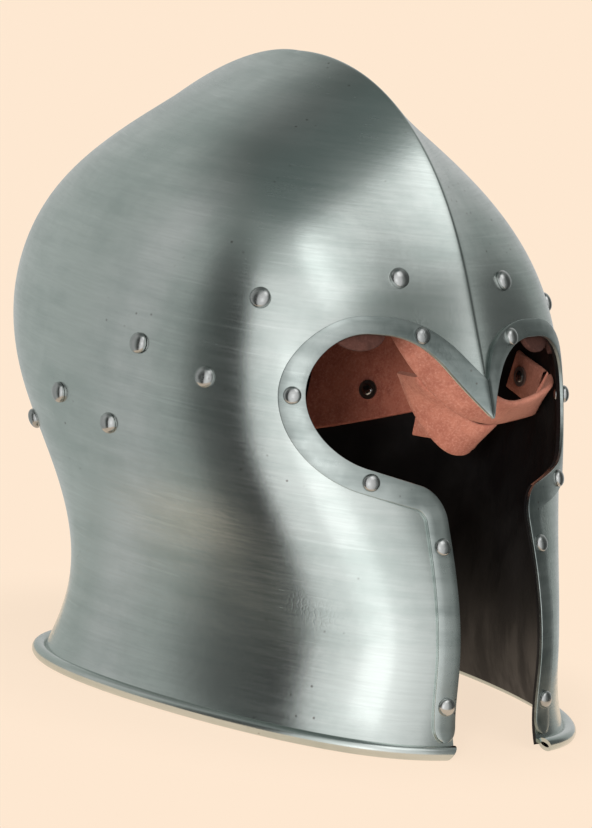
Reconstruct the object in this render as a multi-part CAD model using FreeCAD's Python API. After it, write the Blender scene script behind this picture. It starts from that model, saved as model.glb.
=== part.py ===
"""Barbute: one raised steel plate with a T-shaped face opening, riveted face trim, liner and chin straps.

Millimetres. The helmet stands on its rim: Z is up, -Y is the front, +X is the wearer's left.
"""

import FreeCAD, Part
import math
import os

from FreeCAD import Placement, Rotation, Vector

# Plate: height, half width, reach to the front and reach to the back of each station
PLATE_THICKNESS = 1.6
BEAD_RADIUS = 3.1
RIM_HALF_WIDTH = 103.0
RIM_FRONT = 138.5
RIM_BACK = 77.5
FLARE_HEIGHT = 13.5
FLARE_HALF_WIDTH = 98.2
FLARE_FRONT = 135.5
FLARE_BACK = 76.0
NECK_HEIGHT = 38.5
NECK_HALF_WIDTH = 93.2
NECK_FRONT = 133.6
NECK_BACK = 75.5
CHEEK_HEIGHT = 74.0
CHEEK_HALF_WIDTH = 95.2
CHEEK_FRONT = 124.6
CHEEK_BACK = 101.5
TEMPLE_HEIGHT = 111.5
TEMPLE_HALF_WIDTH = 103.6
TEMPLE_FRONT = 107.7
TEMPLE_BACK = 139.5
BROW_HEIGHT = 156.0
BROW_HALF_WIDTH = 104.6
BROW_FRONT = 91.5
BROW_BACK = 157.0
SHOULDER_HEIGHT = 197.5
SHOULDER_HALF_WIDTH = 93.0
SHOULDER_FRONT = 71.3
SHOULDER_BACK = 142.0
CROWN_HEIGHT = 231.5
CROWN_HALF_WIDTH = 66.8
CROWN_FRONT = 40.0
CROWN_BACK = 103.0
TOP_HEIGHT = 253.0
TOP_HALF_WIDTH = 30.0
TOP_FRONT = 0.5
TOP_BACK = 59.5
APEX_HEIGHT = 257.2
APEX_SETBACK = 32.0

# Plan of the stations: 1 is an ellipse and less is squarer
SQUARENESS_RIM = 0.62
SQUARENESS_CROWN = 0.97
SQUARENESS_BACK = 0.77

# Keel along the middle, raised round a centre inside the bowl
KEEL_CENTRE_HEIGHT = 117.5
KEEL_NASAL_RISE = 10.7
KEEL_BROW_RISE = 7.3
KEEL_CROWN_RISE = 18.2
KEEL_BACK_RISE = 12.0
KEEL_NAPE_RISE = 1.8
KEEL_FRONT_REACH = 47.0
KEEL_CROWN_REACH = 72.0

# Face opening, seen from the front
EYE_CENTRE_X = 52.0
EYE_CENTRE_Z = 141.4
EYE_RADIUS = 27.3
BROW_CENTRE_X = 45.3
BROW_RADIUS = 39.6
NASAL_ANGLE = 47.5
CHEEK_ANGLE = 13.5
SLIT_HALF_WIDTH = 25.2

# Face trim
TRIM_WIDTH = 10.4
TRIM_BROW_WIDTH = 7.6
TRIM_THICKNESS = 1.4
TRIM_GAP = 0.05
TRIM_OVERHANG = 0.5
TRIM_CORNER_RADIUS = 3.6
TRIM_END_ROUND = 7.0
TRIM_END_GAP = 0.6

# Rolled rim
BEAD_STAND = 0.6
BEAD_SETBACK = 1.5
BEAD_SLANT_RUN = 11.8
BEAD_STEPS = 40

# Rivets
SHANK_RADIUS = 1.5
SHANK_CLEARANCE = 0.1
SEAT_GAP = 0.1
TRIM_HEAD_RADIUS = 3.8
TRIM_HEAD_HEIGHT = 2.6
LEATHER_HEAD_RADIUS = 4.5
LEATHER_HEAD_HEIGHT = 3.2
TAIL_RADIUS = 2.6
TAIL_HEIGHT = 1.0
RIVET_FLAT = 0.4
FLANK_OUT = 0.72
FLANK_UP = 0.7
WASHER_RADIUS = 4.5
WASHER_THICKNESS = 0.8

# Rivet places on the left half: across and up, seen from the front, or along and up, seen from the side
TRIM_RIVET_ANGLES = (113.5, 1.0, -81.0)
TRIM_RIVET_HEIGHTS = (86.0, 21.5)
BROW_RIVET = (32.3, 191.6)
SIDE_RIVETS = ((-49.9, 178.2), (0.7, 149.1), (54.1, 117.1), (95.0, 97.0))
BACK_RIVET_HEIGHT = 92.0
STRAP_RIVETS = ((-37.1, 142.1), (14.8, 111.8))

# Liner leather: four pieces along the wall, seen from the side or from the front
LEATHER_THICKNESS = 2.4
LEATHER_GAP = 0.3
SIDE_LINER_CORNER = (80.5, 91.6)
SIDE_LINER_SLOPE = 21.5
SIDE_LINER_LENGTH = 100.0
SIDE_LINER_HEIGHT = 46.0
BROW_LINER_BOTTOM = 171.5
BROW_LINER_TOP = 208.0
BROW_LINER_LOBE = (50.0, 64.0, 159.5)
BROW_LINER_BACK = -17.0
BACK_LINER_BOTTOM = 73.0
BACK_LINER_TOP = 114.0
BACK_LINER_FRONT = 88.0

# Chin straps and buckle
STRAP_WIDTH = 19.0
STRAP_THICKNESS = 2.4
STRAP_END = 9.0
STRAP_GAP = 0.9
BUCKLE_BAR_RADIUS = 1.6
BUCKLE_BAR_X = 80.0
BUCKLE_BAR_Y = -30.0
BUCKLE_BAR_Z = 76.0
BUCKLE_REACH = 19.0
BUCKLE_SIDE_GAP = 1.5
BUCKLE_CORNER_RADIUS = 3.0
FOLD_GAP = 0.3
LAP_GAP = 0.5
FOLD_RISE = 26.0
FOLD_LEAN_RISE = 12.0
SLOT_WIDTH = 5.2
SLOT_RISE = 12.0
PRONG_WIDTH = 3.6
PRONG_THICKNESS = 1.8
PRONG_CLEARANCE = 0.06
PRONG_RING_THICKNESS = 1.2
PRONG_OVERHANG = 2.0
JOINT_RIVET_RISE = 19.0
JOINT_HEAD_RADIUS = 4.0
JOINT_HEAD_HEIGHT = 2.6
FOLD_RIVET_STATION = 6

STEPS_ROUND = 32
STEPS_UP = 30

STATIONS = [
    (BEAD_RADIUS, RIM_HALF_WIDTH, RIM_FRONT, RIM_BACK),
    (FLARE_HEIGHT, FLARE_HALF_WIDTH, FLARE_FRONT, FLARE_BACK),
    (NECK_HEIGHT, NECK_HALF_WIDTH, NECK_FRONT, NECK_BACK),
    (CHEEK_HEIGHT, CHEEK_HALF_WIDTH, CHEEK_FRONT, CHEEK_BACK),
    (TEMPLE_HEIGHT, TEMPLE_HALF_WIDTH, TEMPLE_FRONT, TEMPLE_BACK),
    (BROW_HEIGHT, BROW_HALF_WIDTH, BROW_FRONT, BROW_BACK),
    (SHOULDER_HEIGHT, SHOULDER_HALF_WIDTH, SHOULDER_FRONT, SHOULDER_BACK),
    (CROWN_HEIGHT, CROWN_HALF_WIDTH, CROWN_FRONT, CROWN_BACK),
    (TOP_HEIGHT, TOP_HALF_WIDTH, TOP_FRONT, TOP_BACK),
    (APEX_HEIGHT, 0.0, -APEX_SETBACK, APEX_SETBACK),
]


def station_curves():
    """Curves through the stations: (half width, front, height) and (half width, back, height)."""
    steps = [0.0]
    for low, high in zip(STATIONS, STATIONS[1:]):
        steps.append(steps[-1] + math.hypot(high[0] - low[0], high[1] - low[1]))
    places = [step / steps[-1] for step in steps]
    front = Part.BSplineCurve()
    front.interpolate(Points=[Vector(w, f, z) for z, w, f, b in STATIONS], Parameters=places)
    back = Part.BSplineCurve()
    back.interpolate(Points=[Vector(w, b, z) for z, w, f, b in STATIONS], Parameters=places)
    return front, back


FRONT_CURVE, BACK_CURVE = station_curves()


def blend(share):
    """Smooth step from 0 to 1."""
    share = min(max(share, 0.0), 1.0)
    return share * share * (3.0 - 2.0 * share)


def steady_curve(stations, at):
    """Value at a place along stations (place, value), with no overshoot between them."""
    at = min(max(at, stations[0][0]), stations[-1][0])
    gaps = [b[0] - a[0] for a, b in zip(stations, stations[1:])]
    slopes = [(b[1] - a[1]) / gap for a, b, gap in zip(stations, stations[1:], gaps)]
    ends = [0.0]
    for low, high in zip(slopes, slopes[1:]):
        ends.append(2.0 * low * high / (low + high) if low * high > 0 else 0.0)
    ends.append(0.0)
    part = 0
    while at > stations[part + 1][0]:
        part += 1
    gap = gaps[part]
    share = (at - stations[part][0]) / gap
    rest = 1.0 - share
    low, high = stations[part][1], stations[part + 1][1]
    curve = low * (1.0 + 2.0 * share) * rest * rest + high * (3.0 - 2.0 * share) * share * share
    return curve + gap * share * rest * (ends[part] * rest - ends[part + 1] * share)


def keel_rise(across, y, z):
    """How far the keel lifts the plate at a point, along the line from the keel's centre."""
    angle = math.degrees(math.atan2(z - KEEL_CENTRE_HEIGHT, -y))
    if angle < -90.0:
        angle += 360.0
    rises = [
        (-22.0, 0.0),
        (5.0, KEEL_NASAL_RISE),
        (35.0, KEEL_BROW_RISE),
        (90.0, KEEL_CROWN_RISE),
        (140.0, KEEL_BACK_RISE),
        (190.0, KEEL_NAPE_RISE),
        (225.0, 0.0),
    ]
    share = blend((angle - 15.0) / 70.0)
    reach = KEEL_FRONT_REACH + (KEEL_CROWN_REACH - KEEL_FRONT_REACH) * share
    return steady_curve(rises, angle) * (1.0 - min(across / reach, 1.0)) ** 3


def plate_point(turn, up):
    """Point on the left half's outside: turn 0 is the front and pi the back, up 0 the rim and 1 the apex."""
    front_place = FRONT_CURVE.value(up)
    half_width, front, height = front_place.x, front_place.y, front_place.z
    back = BACK_CURVE.value(up).y
    cosine, sine = math.cos(turn), math.sin(turn)
    front_power = SQUARENESS_RIM + (SQUARENESS_CROWN - SQUARENESS_RIM) * blend(up ** 0.8)
    power = (front_power + SQUARENESS_BACK) / 2.0 + (front_power - SQUARENESS_BACK) / 2.0 * cosine
    x = half_width * abs(sine) ** power
    middle = (back - front) / 2.0
    side = APEX_SETBACK * blend(2.0 * up - 1.0)
    y = middle - (back + front) / 2.0 * cosine + (side - middle) * sine * sine
    rise = keel_rise(x, y, height)
    out = Vector(0.0, y, height - KEEL_CENTRE_HEIGHT)
    out.normalize()
    return Vector(x, y, height) + out * rise


def plate_grid():
    """Points and outward normals over the left half, in rows from the rim up."""
    turns = []
    for step in range(STEPS_ROUND + 1):
        share = step / STEPS_ROUND
        even = 0.5 * (2.0 * share) ** 1.3 if share < 0.5 else 1.0 - 0.5 * (2.0 - 2.0 * share) ** 1.3
        turns.append(math.pi * even)
    ups = [1.0 - (1.0 - step / STEPS_UP) ** 1.15 for step in range(STEPS_UP + 1)]
    small = 1e-4
    rows = []
    for up in ups:
        row = []
        for turn in turns:
            point = plate_point(turn, up)
            if up == 1.0:
                slope = 3.0 * KEEL_CROWN_RISE / KEEL_CROWN_REACH
                row.append((Vector(0.0, point.y, point.z), Vector(0.0, 0.0, 1.0), math.hypot(1.0, slope)))
                continue
            low_turn, high_turn = max(turn, small) - small, min(turn, math.pi - small) + small
            low_up, high_up = max(up, small) - small, min(up, 1.0 - small) + small
            across = plate_point(high_turn, up) - plate_point(low_turn, up)
            along = plate_point(turn, high_up) - plate_point(turn, low_up)
            normal = across.cross(along)
            normal.normalize()
            on_middle = turn in (turns[0], turns[-1])
            flat = Vector(0.0 if on_middle else normal.x, normal.y, 0.0 if up == 0.0 else normal.z)
            stretch = 1.0 / flat.Length
            flat.normalize()
            row.append((Vector(0.0 if on_middle else point.x, point.y, point.z), flat, stretch))
        rows.append(row)
    return rows


GRID = plate_grid()


def surface_through(rows):
    """One smooth surface through rows of points, the last of which are a single point."""
    round_steps = [step / (len(rows[0]) - 1) for step in range(len(rows[0]))]
    up_steps = [step / (len(rows) - 1) for step in range(len(rows))]
    pole_rows = []
    for row in rows[:-1]:
        curve = Part.BSplineCurve()
        curve.interpolate(Points=row, Parameters=round_steps)
        pole_rows.append(curve.getPoles())
    pole_rows.append([rows[-1][0]] * len(pole_rows[0]))
    poles = []
    for column in zip(*pole_rows):
        up_curve = Part.BSplineCurve()
        up_curve.interpolate(Points=list(column), Parameters=up_steps)
        poles.append(up_curve.getPoles())
    surface = Part.BSplineSurface()
    surface.buildFromPolesMultsKnots(
        poles,
        curve.getMultiplicities(),
        up_curve.getMultiplicities(),
        curve.getKnots(),
        up_curve.getKnots(),
        False,
        False,
        curve.Degree,
        up_curve.Degree,
    )
    return surface


def offset_surface(offset):
    """The left half's outside, moved out (or in) by an offset."""
    rows = [[point + normal * (offset * stretch) for point, normal, stretch in row] for row in GRID]
    return surface_through(rows)


OUTSIDE = offset_surface(0.0)


def layer(low, high):
    """Solid of the left half between two offsets from the plate's outside."""
    faces = []
    middle_edges = []
    rim_edges = []
    for offset in (low, high):
        surface = offset_surface(offset)
        faces.append(surface.toShape())
        turn_low, turn_high, up_low, up_high = surface.bounds()
        for turn in (turn_low, turn_high):
            middle_edges.append(surface.uIso(turn).toShape())
        rim_edges.append(surface.vIso(up_low).toShape())
    inner_rim, outer_rim = rim_edges
    for at in (0, 1):
        start, end = inner_rim.Vertexes[at].Point, outer_rim.Vertexes[at].Point
        closing = Part.LineSegment(start, end).toShape()
        middle_edges.append(closing)
        rim_edges.append(closing)
    for edges in (middle_edges, rim_edges):
        faces.append(Part.Face(Part.Wire(Part.__sortEdges__(edges))))
    shell = Part.makeShell(faces)
    shell.sewShape()
    return Part.makeSolid(shell)


def mirrored(shape):
    """The same shape on the wearer's right."""
    return shape.mirror(Vector(), Vector(1, 0, 0))


def plate_seat(start, direction):
    """Where a line from outside first meets the left half, and the outward normal there."""
    hits = Part.Line(start, start + direction).intersectCS(OUTSIDE)[0]
    points = [Vector(hit.X, hit.Y, hit.Z) for hit in hits]
    point = min(points, key=lambda place: (place - start).dot(direction))
    normal = OUTSIDE.normal(*OUTSIDE.parameter(point))
    if normal.dot(direction) > 0:
        normal = normal * -1
    return point, normal


def front_seat(x, z):
    """Seat on the plate at a place seen from the front."""
    return plate_seat(Vector(x, -2 * CHEEK_FRONT, z), Vector(0, 1, 0))


def side_seat(y, z):
    """Seat on the plate at a place seen from the wearer's left."""
    return plate_seat(Vector(2 * TEMPLE_HALF_WIDTH, y, z), Vector(-1, 0, 0))


def flat(x, z):
    """Point of an outline that is drawn as seen from the front."""
    return Vector(x, 0.0, z)


def on_circle(centre_x, centre_z, radius, degrees):
    """Point on a circle, seen from the front."""
    angle = math.radians(degrees)
    return flat(centre_x + radius * math.cos(angle), centre_z + radius * math.sin(angle))


def arc(centre_x, centre_z, radius, start, end):
    """Arc between two angles in degrees."""
    places = [on_circle(centre_x, centre_z, radius, angle) for angle in (start, (start + end) / 2, end)]
    return Part.Arc(*places)


BROW_CENTRE_Z = EYE_CENTRE_Z + EYE_RADIUS - BROW_RADIUS
EYE_CIRCLE = (EYE_CENTRE_X, EYE_CENTRE_Z, EYE_RADIUS)
BROW_CIRCLE = (BROW_CENTRE_X, BROW_CENTRE_Z, BROW_RADIUS)


def opening_path(grow, bottom):
    """Lines and arcs round the left half of the face opening, from the nasal tip down to a height."""
    brow = arc(BROW_CENTRE_X, BROW_CENTRE_Z, BROW_RADIUS + grow, 90 + NASAL_ANGLE, 90)
    brow_start = brow.StartPoint
    tip = flat(0.0, brow_start.z - brow_start.x * math.tan(math.radians(NASAL_ANGLE)))
    eye = arc(EYE_CENTRE_X, EYE_CENTRE_Z, EYE_RADIUS + grow, 90, CHEEK_ANGLE - 90)
    eye_end = eye.EndPoint
    radius = TRIM_WIDTH + TRIM_CORNER_RADIUS - grow
    slope = math.radians(CHEEK_ANGLE)
    corner_x = SLIT_HALF_WIDTH + grow + radius
    corner_z = eye_end.z + (corner_x - eye_end.x) * math.tan(slope) - radius / math.cos(slope)
    corner = arc(corner_x, corner_z, radius, 90 + CHEEK_ANGLE, 180)
    slit_end = flat(SLIT_HALF_WIDTH + grow, bottom)
    return [
        Part.LineSegment(tip, brow_start),
        brow,
        Part.LineSegment(brow.EndPoint, eye.StartPoint),
        eye,
        Part.LineSegment(eye_end, corner.StartPoint),
        corner,
        Part.LineSegment(corner.EndPoint, slit_end),
    ]


def along(curve, share):
    """Point and direction at a share of a curve's length."""
    at = curve.FirstParameter + (curve.LastParameter - curve.FirstParameter) * share
    return curve.value(at), Vector(*curve.tangent(at)[0])


def across_plate(place, direction, distance):
    """Point of the plate beside an outline, a distance away along the metal, and its seat's normal."""
    point, normal = front_seat(max(place.x, 0.01), place.z)
    rise = -(normal.x * direction.x + normal.z * direction.z) / normal.y
    ahead = Vector(direction.x, rise, direction.z)
    aside = ahead.cross(normal)
    if aside.z * direction.x < aside.x * direction.z:
        aside = aside * -1
    aside.normalize()
    return point + aside * distance


def trim_width(place):
    """The trim's width, narrower over the eye."""
    share = blend((place.z - EYE_CENTRE_Z) / EYE_RADIUS) * blend(place.x / EYE_CENTRE_X)
    return TRIM_WIDTH + (TRIM_BROW_WIDTH - TRIM_WIDTH) * share


def prism(curves, start, reach):
    """Solid from a closed outline, pushed along Y or X from a start plane."""
    face = Part.Face(Part.Wire(Part.__sortEdges__([curve.toShape() for curve in curves])))
    face.translate(start)
    return face.extrude(reach)


def front_prism(curves):
    """Solid through the plate's front from an outline seen from the front."""
    depth = 2 * CHEEK_FRONT
    return prism(curves, Vector(0, -depth, 0), Vector(0, depth - BROW_FRONT / 3, 0))


def closed_by_lines(curves, corners):
    """An open path closed by straight lines through corners."""
    places = [curves[-1].EndPoint] + corners + [curves[0].StartPoint]
    lines = [Part.LineSegment(start, end) for start, end in zip(places, places[1:])]
    return curves + lines


TRIM_BOTTOM = 2 * BEAD_RADIUS + TRIM_END_GAP


def trim_band():
    """Outline of the left trim strip, seen from the front."""
    inner = opening_path(0.0, TRIM_BOTTOM + TRIM_END_ROUND)
    outer_places = []
    for curve, count in zip(inner, (6, 8, 2, 20, 5, 8, 10)):
        for step in range(count):
            place, direction = along(curve, step / count)
            beside = across_plate(place, direction, trim_width(place))
            outer_places.append(flat(beside.x, beside.z))
    place, direction = along(inner[-1], 1.0)
    beside = across_plate(place, direction, trim_width(place))
    outer_places.append(flat(beside.x, place.z))
    outer = Part.BSplineCurve()
    outer.interpolate(outer_places)
    outer_end = outer_places[-1]
    middle = flat((place.x + outer_end.x) / 2, TRIM_BOTTOM)
    end = Part.Arc(place, middle, outer_end)
    return inner + [end, outer, Part.LineSegment(outer_places[0], inner[0].StartPoint)]


TRIM_SEAT = TRIM_GAP + TRIM_THICKNESS


def make_trim():
    """The left face trim strip."""
    return layer(TRIM_GAP, TRIM_SEAT).common(front_prism(trim_band()))


def make_half_plate():
    """The left half of the plate, with its half of the face opening."""
    below = -2 * BEAD_RADIUS
    path = opening_path(TRIM_OVERHANG, below)
    tip = path[0].StartPoint
    corners = [flat(-SLIT_HALF_WIDTH, below), flat(-SLIT_HALF_WIDTH, tip.z)]
    return layer(-PLATE_THICKNESS, 0.0).cut(front_prism(closed_by_lines(path, corners)))


def bead_path():
    """Centre line of the rolled rim, from the right cheek round the back to the left cheek."""
    start = 0.0
    while plate_point(start, 0.0).x < SLIT_HALF_WIDTH + BEAD_SETBACK:
        start += 0.001
    left = []
    for step in range(BEAD_STEPS + 1):
        turn = start + (math.pi - start) * step / BEAD_STEPS
        small = 1e-4
        point = plate_point(turn, 0.0)
        ahead = plate_point(min(turn + small, math.pi), 0.0) - plate_point(turn - small, 0.0)
        outward = Vector(-ahead.y, ahead.x, 0.0) * -1
        outward.normalize()
        if step == BEAD_STEPS:
            point, outward = Vector(0.0, point.y, point.z), Vector(0.0, 1.0, 0.0)
        left.append(point + outward * (BEAD_RADIUS * BEAD_STAND))
    right = [Vector(-place.x, place.y, place.z) for place in left]
    path = Part.BSplineCurve()
    path.interpolate(right + left[-2::-1])
    return path


def make_bead():
    """The rolled rim: a hollow roll, cut off at a slant at both cheeks."""
    path = bead_path()
    wire = Part.Wire([path.toShape()])
    ahead = Vector(*path.tangent(path.FirstParameter)[0])
    tubes = []
    for radius in (BEAD_RADIUS, BEAD_RADIUS - PLATE_THICKNESS):
        ring = Part.Wire([Part.Circle(path.StartPoint, ahead, radius).toShape()])
        tubes.append(wire.makePipeShell([ring], True, True))
    return tubes


def cheek_slants():
    """Wedges that take the lower front corners off the rim."""
    low, high = -BEAD_RADIUS, 2 * BEAD_RADIUS
    near = SLIT_HALF_WIDTH - BEAD_SETBACK
    corners = [flat(near, low), flat(near + BEAD_SLANT_RUN, low), flat(near, high)]
    lines = [Part.LineSegment(start, end) for start, end in zip(corners, corners[1:] + corners[:1])]
    wedge = front_prism(lines)
    return [wedge, mirrored(wedge)]


def make_skull(holes):
    """The plate: both halves, the rolled rim and the rivet holes."""
    half = make_half_plate()
    plate = half.fuse(mirrored(half))
    roll, core = make_bead()
    return plate.fuse(roll).cut([core] + cheek_slants() + holes)


def rivet(head_radius, head_height, grip):
    """Rivet along Z: the head sits on Z = 0 and the peened tail is below its grip."""
    top, low = head_height, -grip - TAIL_HEIGHT
    head_rim, tail_rim = head_height / 6, -grip - TAIL_HEIGHT / 4
    head_flank = Vector(head_radius * FLANK_OUT, 0, head_rim + (top - head_rim) * FLANK_UP)
    tail_flank = Vector(TAIL_RADIUS * FLANK_OUT, 0, tail_rim + (low - tail_rim) * FLANK_UP)
    corners = [
        Vector(head_radius, 0, head_rim),
        Vector(head_radius, 0, 0),
        Vector(SHANK_RADIUS, 0, 0),
        Vector(SHANK_RADIUS, 0, -grip),
        Vector(TAIL_RADIUS, 0, -grip),
        Vector(TAIL_RADIUS, 0, tail_rim),
    ]
    ends = [Vector(RIVET_FLAT, 0, low), Vector(0, 0, low), Vector(0, 0, top), Vector(RIVET_FLAT, 0, top)]
    curves = [Part.LineSegment(start, end) for start, end in zip(corners, corners[1:])]
    curves.append(Part.Arc(corners[-1], tail_flank, ends[0]))
    curves += [Part.LineSegment(start, end) for start, end in zip(ends, ends[1:])]
    curves.append(Part.Arc(ends[-1], head_flank, corners[0]))
    profile = Part.Face(Part.Wire([curve.toShape() for curve in curves]))
    return profile.revolve(Vector(), Vector(0, 0, 1), 360)


def placed(shape, seat, offset):
    """A shape made along Z, set on a seat at an offset along its normal."""
    point, normal = seat
    copy = shape.copy()
    copy.Placement = Placement(point + normal * offset, Rotation(Vector(0, 0, 1), normal))
    return copy


def rod(seat, radius, low, high):
    """Cylinder along a seat's normal, between two offsets."""
    return placed(Part.makeCylinder(radius, high - low), seat, low)


def washer(seat, offset):
    """Flat washer whose outer face is at an offset from the plate's outside."""
    ring = Part.makeCylinder(WASHER_RADIUS, WASHER_THICKNESS)
    ring = ring.cut(Part.makeCylinder(SHANK_RADIUS + SHANK_CLEARANCE, WASHER_THICKNESS))
    return placed(ring, seat, offset - WASHER_THICKNESS)


def shank_hole(seat):
    """Hole for a rivet's shank, through everything at the wall."""
    return rod(seat, SHANK_RADIUS + SHANK_CLEARANCE, -8 * PLATE_THICKNESS, 4 * PLATE_THICKNESS)


def both_sides(shapes):
    """Shapes of the left half and their mirror images."""
    return shapes + [mirrored(shape) for shape in shapes]


def trim_seats():
    """Seats of the trim rivets, in the middle of the strip."""
    round_the_eye = []
    for angle in TRIM_RIVET_ANGLES:
        on_brow = angle > 90
        circle = BROW_CIRCLE if on_brow else EYE_CIRCLE
        ahead = on_circle(0, 0, 1, angle - 90)
        round_the_eye.append((on_circle(*circle, angle), ahead))
    down_the_slit = [(flat(SLIT_HALF_WIDTH, height), flat(0, -1)) for height in TRIM_RIVET_HEIGHTS]
    seats = []
    for place, ahead in round_the_eye + down_the_slit:
        middle = across_plate(place, ahead, trim_width(place) / 2)
        seats.append(front_seat(middle.x, middle.z))
    return seats


def liner_seats():
    """Seats of the liner rivets on the left half, from the brow to the back."""
    return [front_seat(*BROW_RIVET)] + [side_seat(*place) for place in SIDE_RIVETS]


def back_seat():
    """Seat of the liner rivet in the middle of the back."""
    point, normal = plate_seat(Vector(0.01, 2 * BROW_BACK, BACK_RIVET_HEIGHT), Vector(0, -1, 0))
    normal = Vector(0, normal.y, normal.z)
    normal.normalize()
    return Vector(0, point.y, point.z), normal


def strap_seats():
    """Seats of the chin strap rivets on the left half."""
    return [side_seat(*place) for place in STRAP_RIVETS]


LEATHER_SEAT = -PLATE_THICKNESS - LEATHER_GAP
STRAP_INSETS = (STRAP_GAP, LEATHER_THICKNESS + STRAP_GAP)


def polygon(places):
    """Closed outline of straight lines."""
    return [Part.LineSegment(start, end) for start, end in zip(places, places[1:] + places[:1])]


def liner_layer():
    """The room of the liner leather along the left wall."""
    return layer(LEATHER_SEAT - LEATHER_THICKNESS, LEATHER_SEAT)


def side_liner(room):
    """The left side's liner leather."""
    slope = math.radians(SIDE_LINER_SLOPE)
    ahead = Vector(0, -math.cos(slope), math.sin(slope)) * SIDE_LINER_LENGTH
    rise = Vector(0, math.sin(slope) * 0.3, math.cos(slope)) * SIDE_LINER_HEIGHT
    corner = Vector(0, *SIDE_LINER_CORNER)
    outline = polygon([corner, corner + ahead, corner + ahead + rise, corner + rise])
    return room.common(prism(outline, Vector(), Vector(2 * TEMPLE_HALF_WIDTH, 0, 0)))


def brow_liner(room):
    """The liner leather behind the brow, with a rounded lobe above each eye's outer end."""
    inner, outer, low = BROW_LINER_LOBE
    side = 2 * TEMPLE_HALF_WIDTH
    outline = polygon([
        flat(0, BROW_LINER_BOTTOM),
        flat(inner, BROW_LINER_BOTTOM),
        flat((2 * inner + outer) / 3, low + 3),
        flat((inner + outer) / 2, low),
        flat(outer, low),
        flat(side, low),
        flat(side, BROW_LINER_TOP),
        flat(0, BROW_LINER_TOP),
    ])
    half = room.common(prism(outline, Vector(0, BROW_LINER_BACK, 0), Vector(0, -2 * BROW_FRONT, 0)))
    return half.fuse(mirrored(half))


def back_liner(room):
    """The liner leather across the back."""
    outline = polygon([
        flat(0, BACK_LINER_BOTTOM),
        flat(2 * TEMPLE_HALF_WIDTH, BACK_LINER_BOTTOM),
        flat(2 * TEMPLE_HALF_WIDTH, BACK_LINER_TOP),
        flat(0, BACK_LINER_TOP),
    ])
    half = room.common(prism(outline, Vector(0, BACK_LINER_FRONT, 0), Vector(0, BROW_BACK, 0)))
    return half.fuse(mirrored(half))


def ribbon(stations):
    """Leather strap through stations of (centre, width direction), square to its path."""
    sections = []
    last = len(stations) - 1
    for index, (centre, side) in enumerate(stations):
        ahead = stations[min(index + 1, last)][0] - stations[max(index - 1, 0)][0]
        ahead.normalize()
        side = side - ahead * side.dot(ahead)
        side.normalize()
        face = ahead.cross(side) * (STRAP_THICKNESS / 2)
        side = side * (STRAP_WIDTH / 2)
        corners = [centre + side + face, centre + side - face, centre - side - face, centre - side + face]
        sections.append(Part.makePolygon(corners + corners[:1]))
    return Part.makeLoft(sections, True, True)


def strap_root(place, inset, heading):
    """Stations of a strap's riveted end, which lies square to the rivet."""
    point, normal = side_seat(*place)
    heading = heading - normal * heading.dot(normal)
    heading.normalize()
    centre = point - normal * (PLATE_THICKNESS + inset + STRAP_THICKNESS / 2)
    side = normal.cross(heading)
    return [(centre - heading * STRAP_END, side), (centre + heading * (STRAP_END - 2.0), side)]


UP = Vector(0, 0, 1)
LEVEL = Vector(0, -1, 0)


def strap_seat(stations, index):
    """Seat on a strap's hidden face, midway between two stations."""
    (start, side), (end, next_side) = stations[index], stations[index + 1]
    normal = (side + next_side).cross(end - start)
    normal.normalize()
    return (start + end) * 0.5 + normal * (STRAP_THICKNESS / 2), normal


def long_strap():
    """The left front strap: it crosses behind the nasal and turns over behind the right brow."""
    tilted = Vector(0.42, -0.43, 0.8)
    return ribbon(strap_root(STRAP_RIVETS[0], STRAP_INSETS[0], Vector(0, -1, -0.2)) + [
        (Vector(83, -60, 136), Vector(0.15, -0.1, 0.98)),
        (Vector(70, -68, 133), Vector(0.25, -0.3, 0.9)),
        (Vector(56, -70, 131), Vector(0.35, -0.4, 0.85)),
        (Vector(43, -70, 131), tilted),
        (Vector(30, -68, 135), tilted),
        (Vector(14, -65, 144), tilted),
        (Vector(1, -56, 156), tilted),
        (Vector(-8, -48, 167), tilted),
        (Vector(-14, -43, 175), Vector(0.6, -0.55, 0.5)),
        (Vector(-21, -36, 172), Vector(0.7, -0.7, 0.0)),
        (Vector(-24, -33, 160), Vector(0.7, -0.7, -0.1)),
    ])


def folded_stations():
    """Stations of the left rear strap: forward from the wall, folded back and up behind the long strap."""
    tilted = Vector(0.4, -0.5, 0.75)
    return strap_root(STRAP_RIVETS[1], STRAP_INSETS[1], Vector(0, -1, 0.1)) + [
        (Vector(86, -16, 117), Vector(0.1, -0.2, 0.97)),
        (Vector(76, -34, 118), Vector(0.2, -0.3, 0.93)),
        (Vector(67, -46, 118), Vector(0.3, -0.4, 0.87)),
        (Vector(59, -52, 118), tilted),
        (Vector(49, -51, 119), tilted),
        (Vector(38, -45, 124), tilted),
        (Vector(28, -38, 134), tilted),
        (Vector(18, -34, 143), tilted),
        (Vector(8, -30, 153), tilted),
    ]


BUCKLE_BAR = Vector(BUCKLE_BAR_X, BUCKLE_BAR_Y, BUCKLE_BAR_Z)
FOLD_INSIDE = BUCKLE_BAR_RADIUS + FOLD_GAP
FOLD_OUTSIDE = FOLD_INSIDE + STRAP_THICKNESS
FOLD_TOP = BUCKLE_BAR_Z + FOLD_RISE


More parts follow.
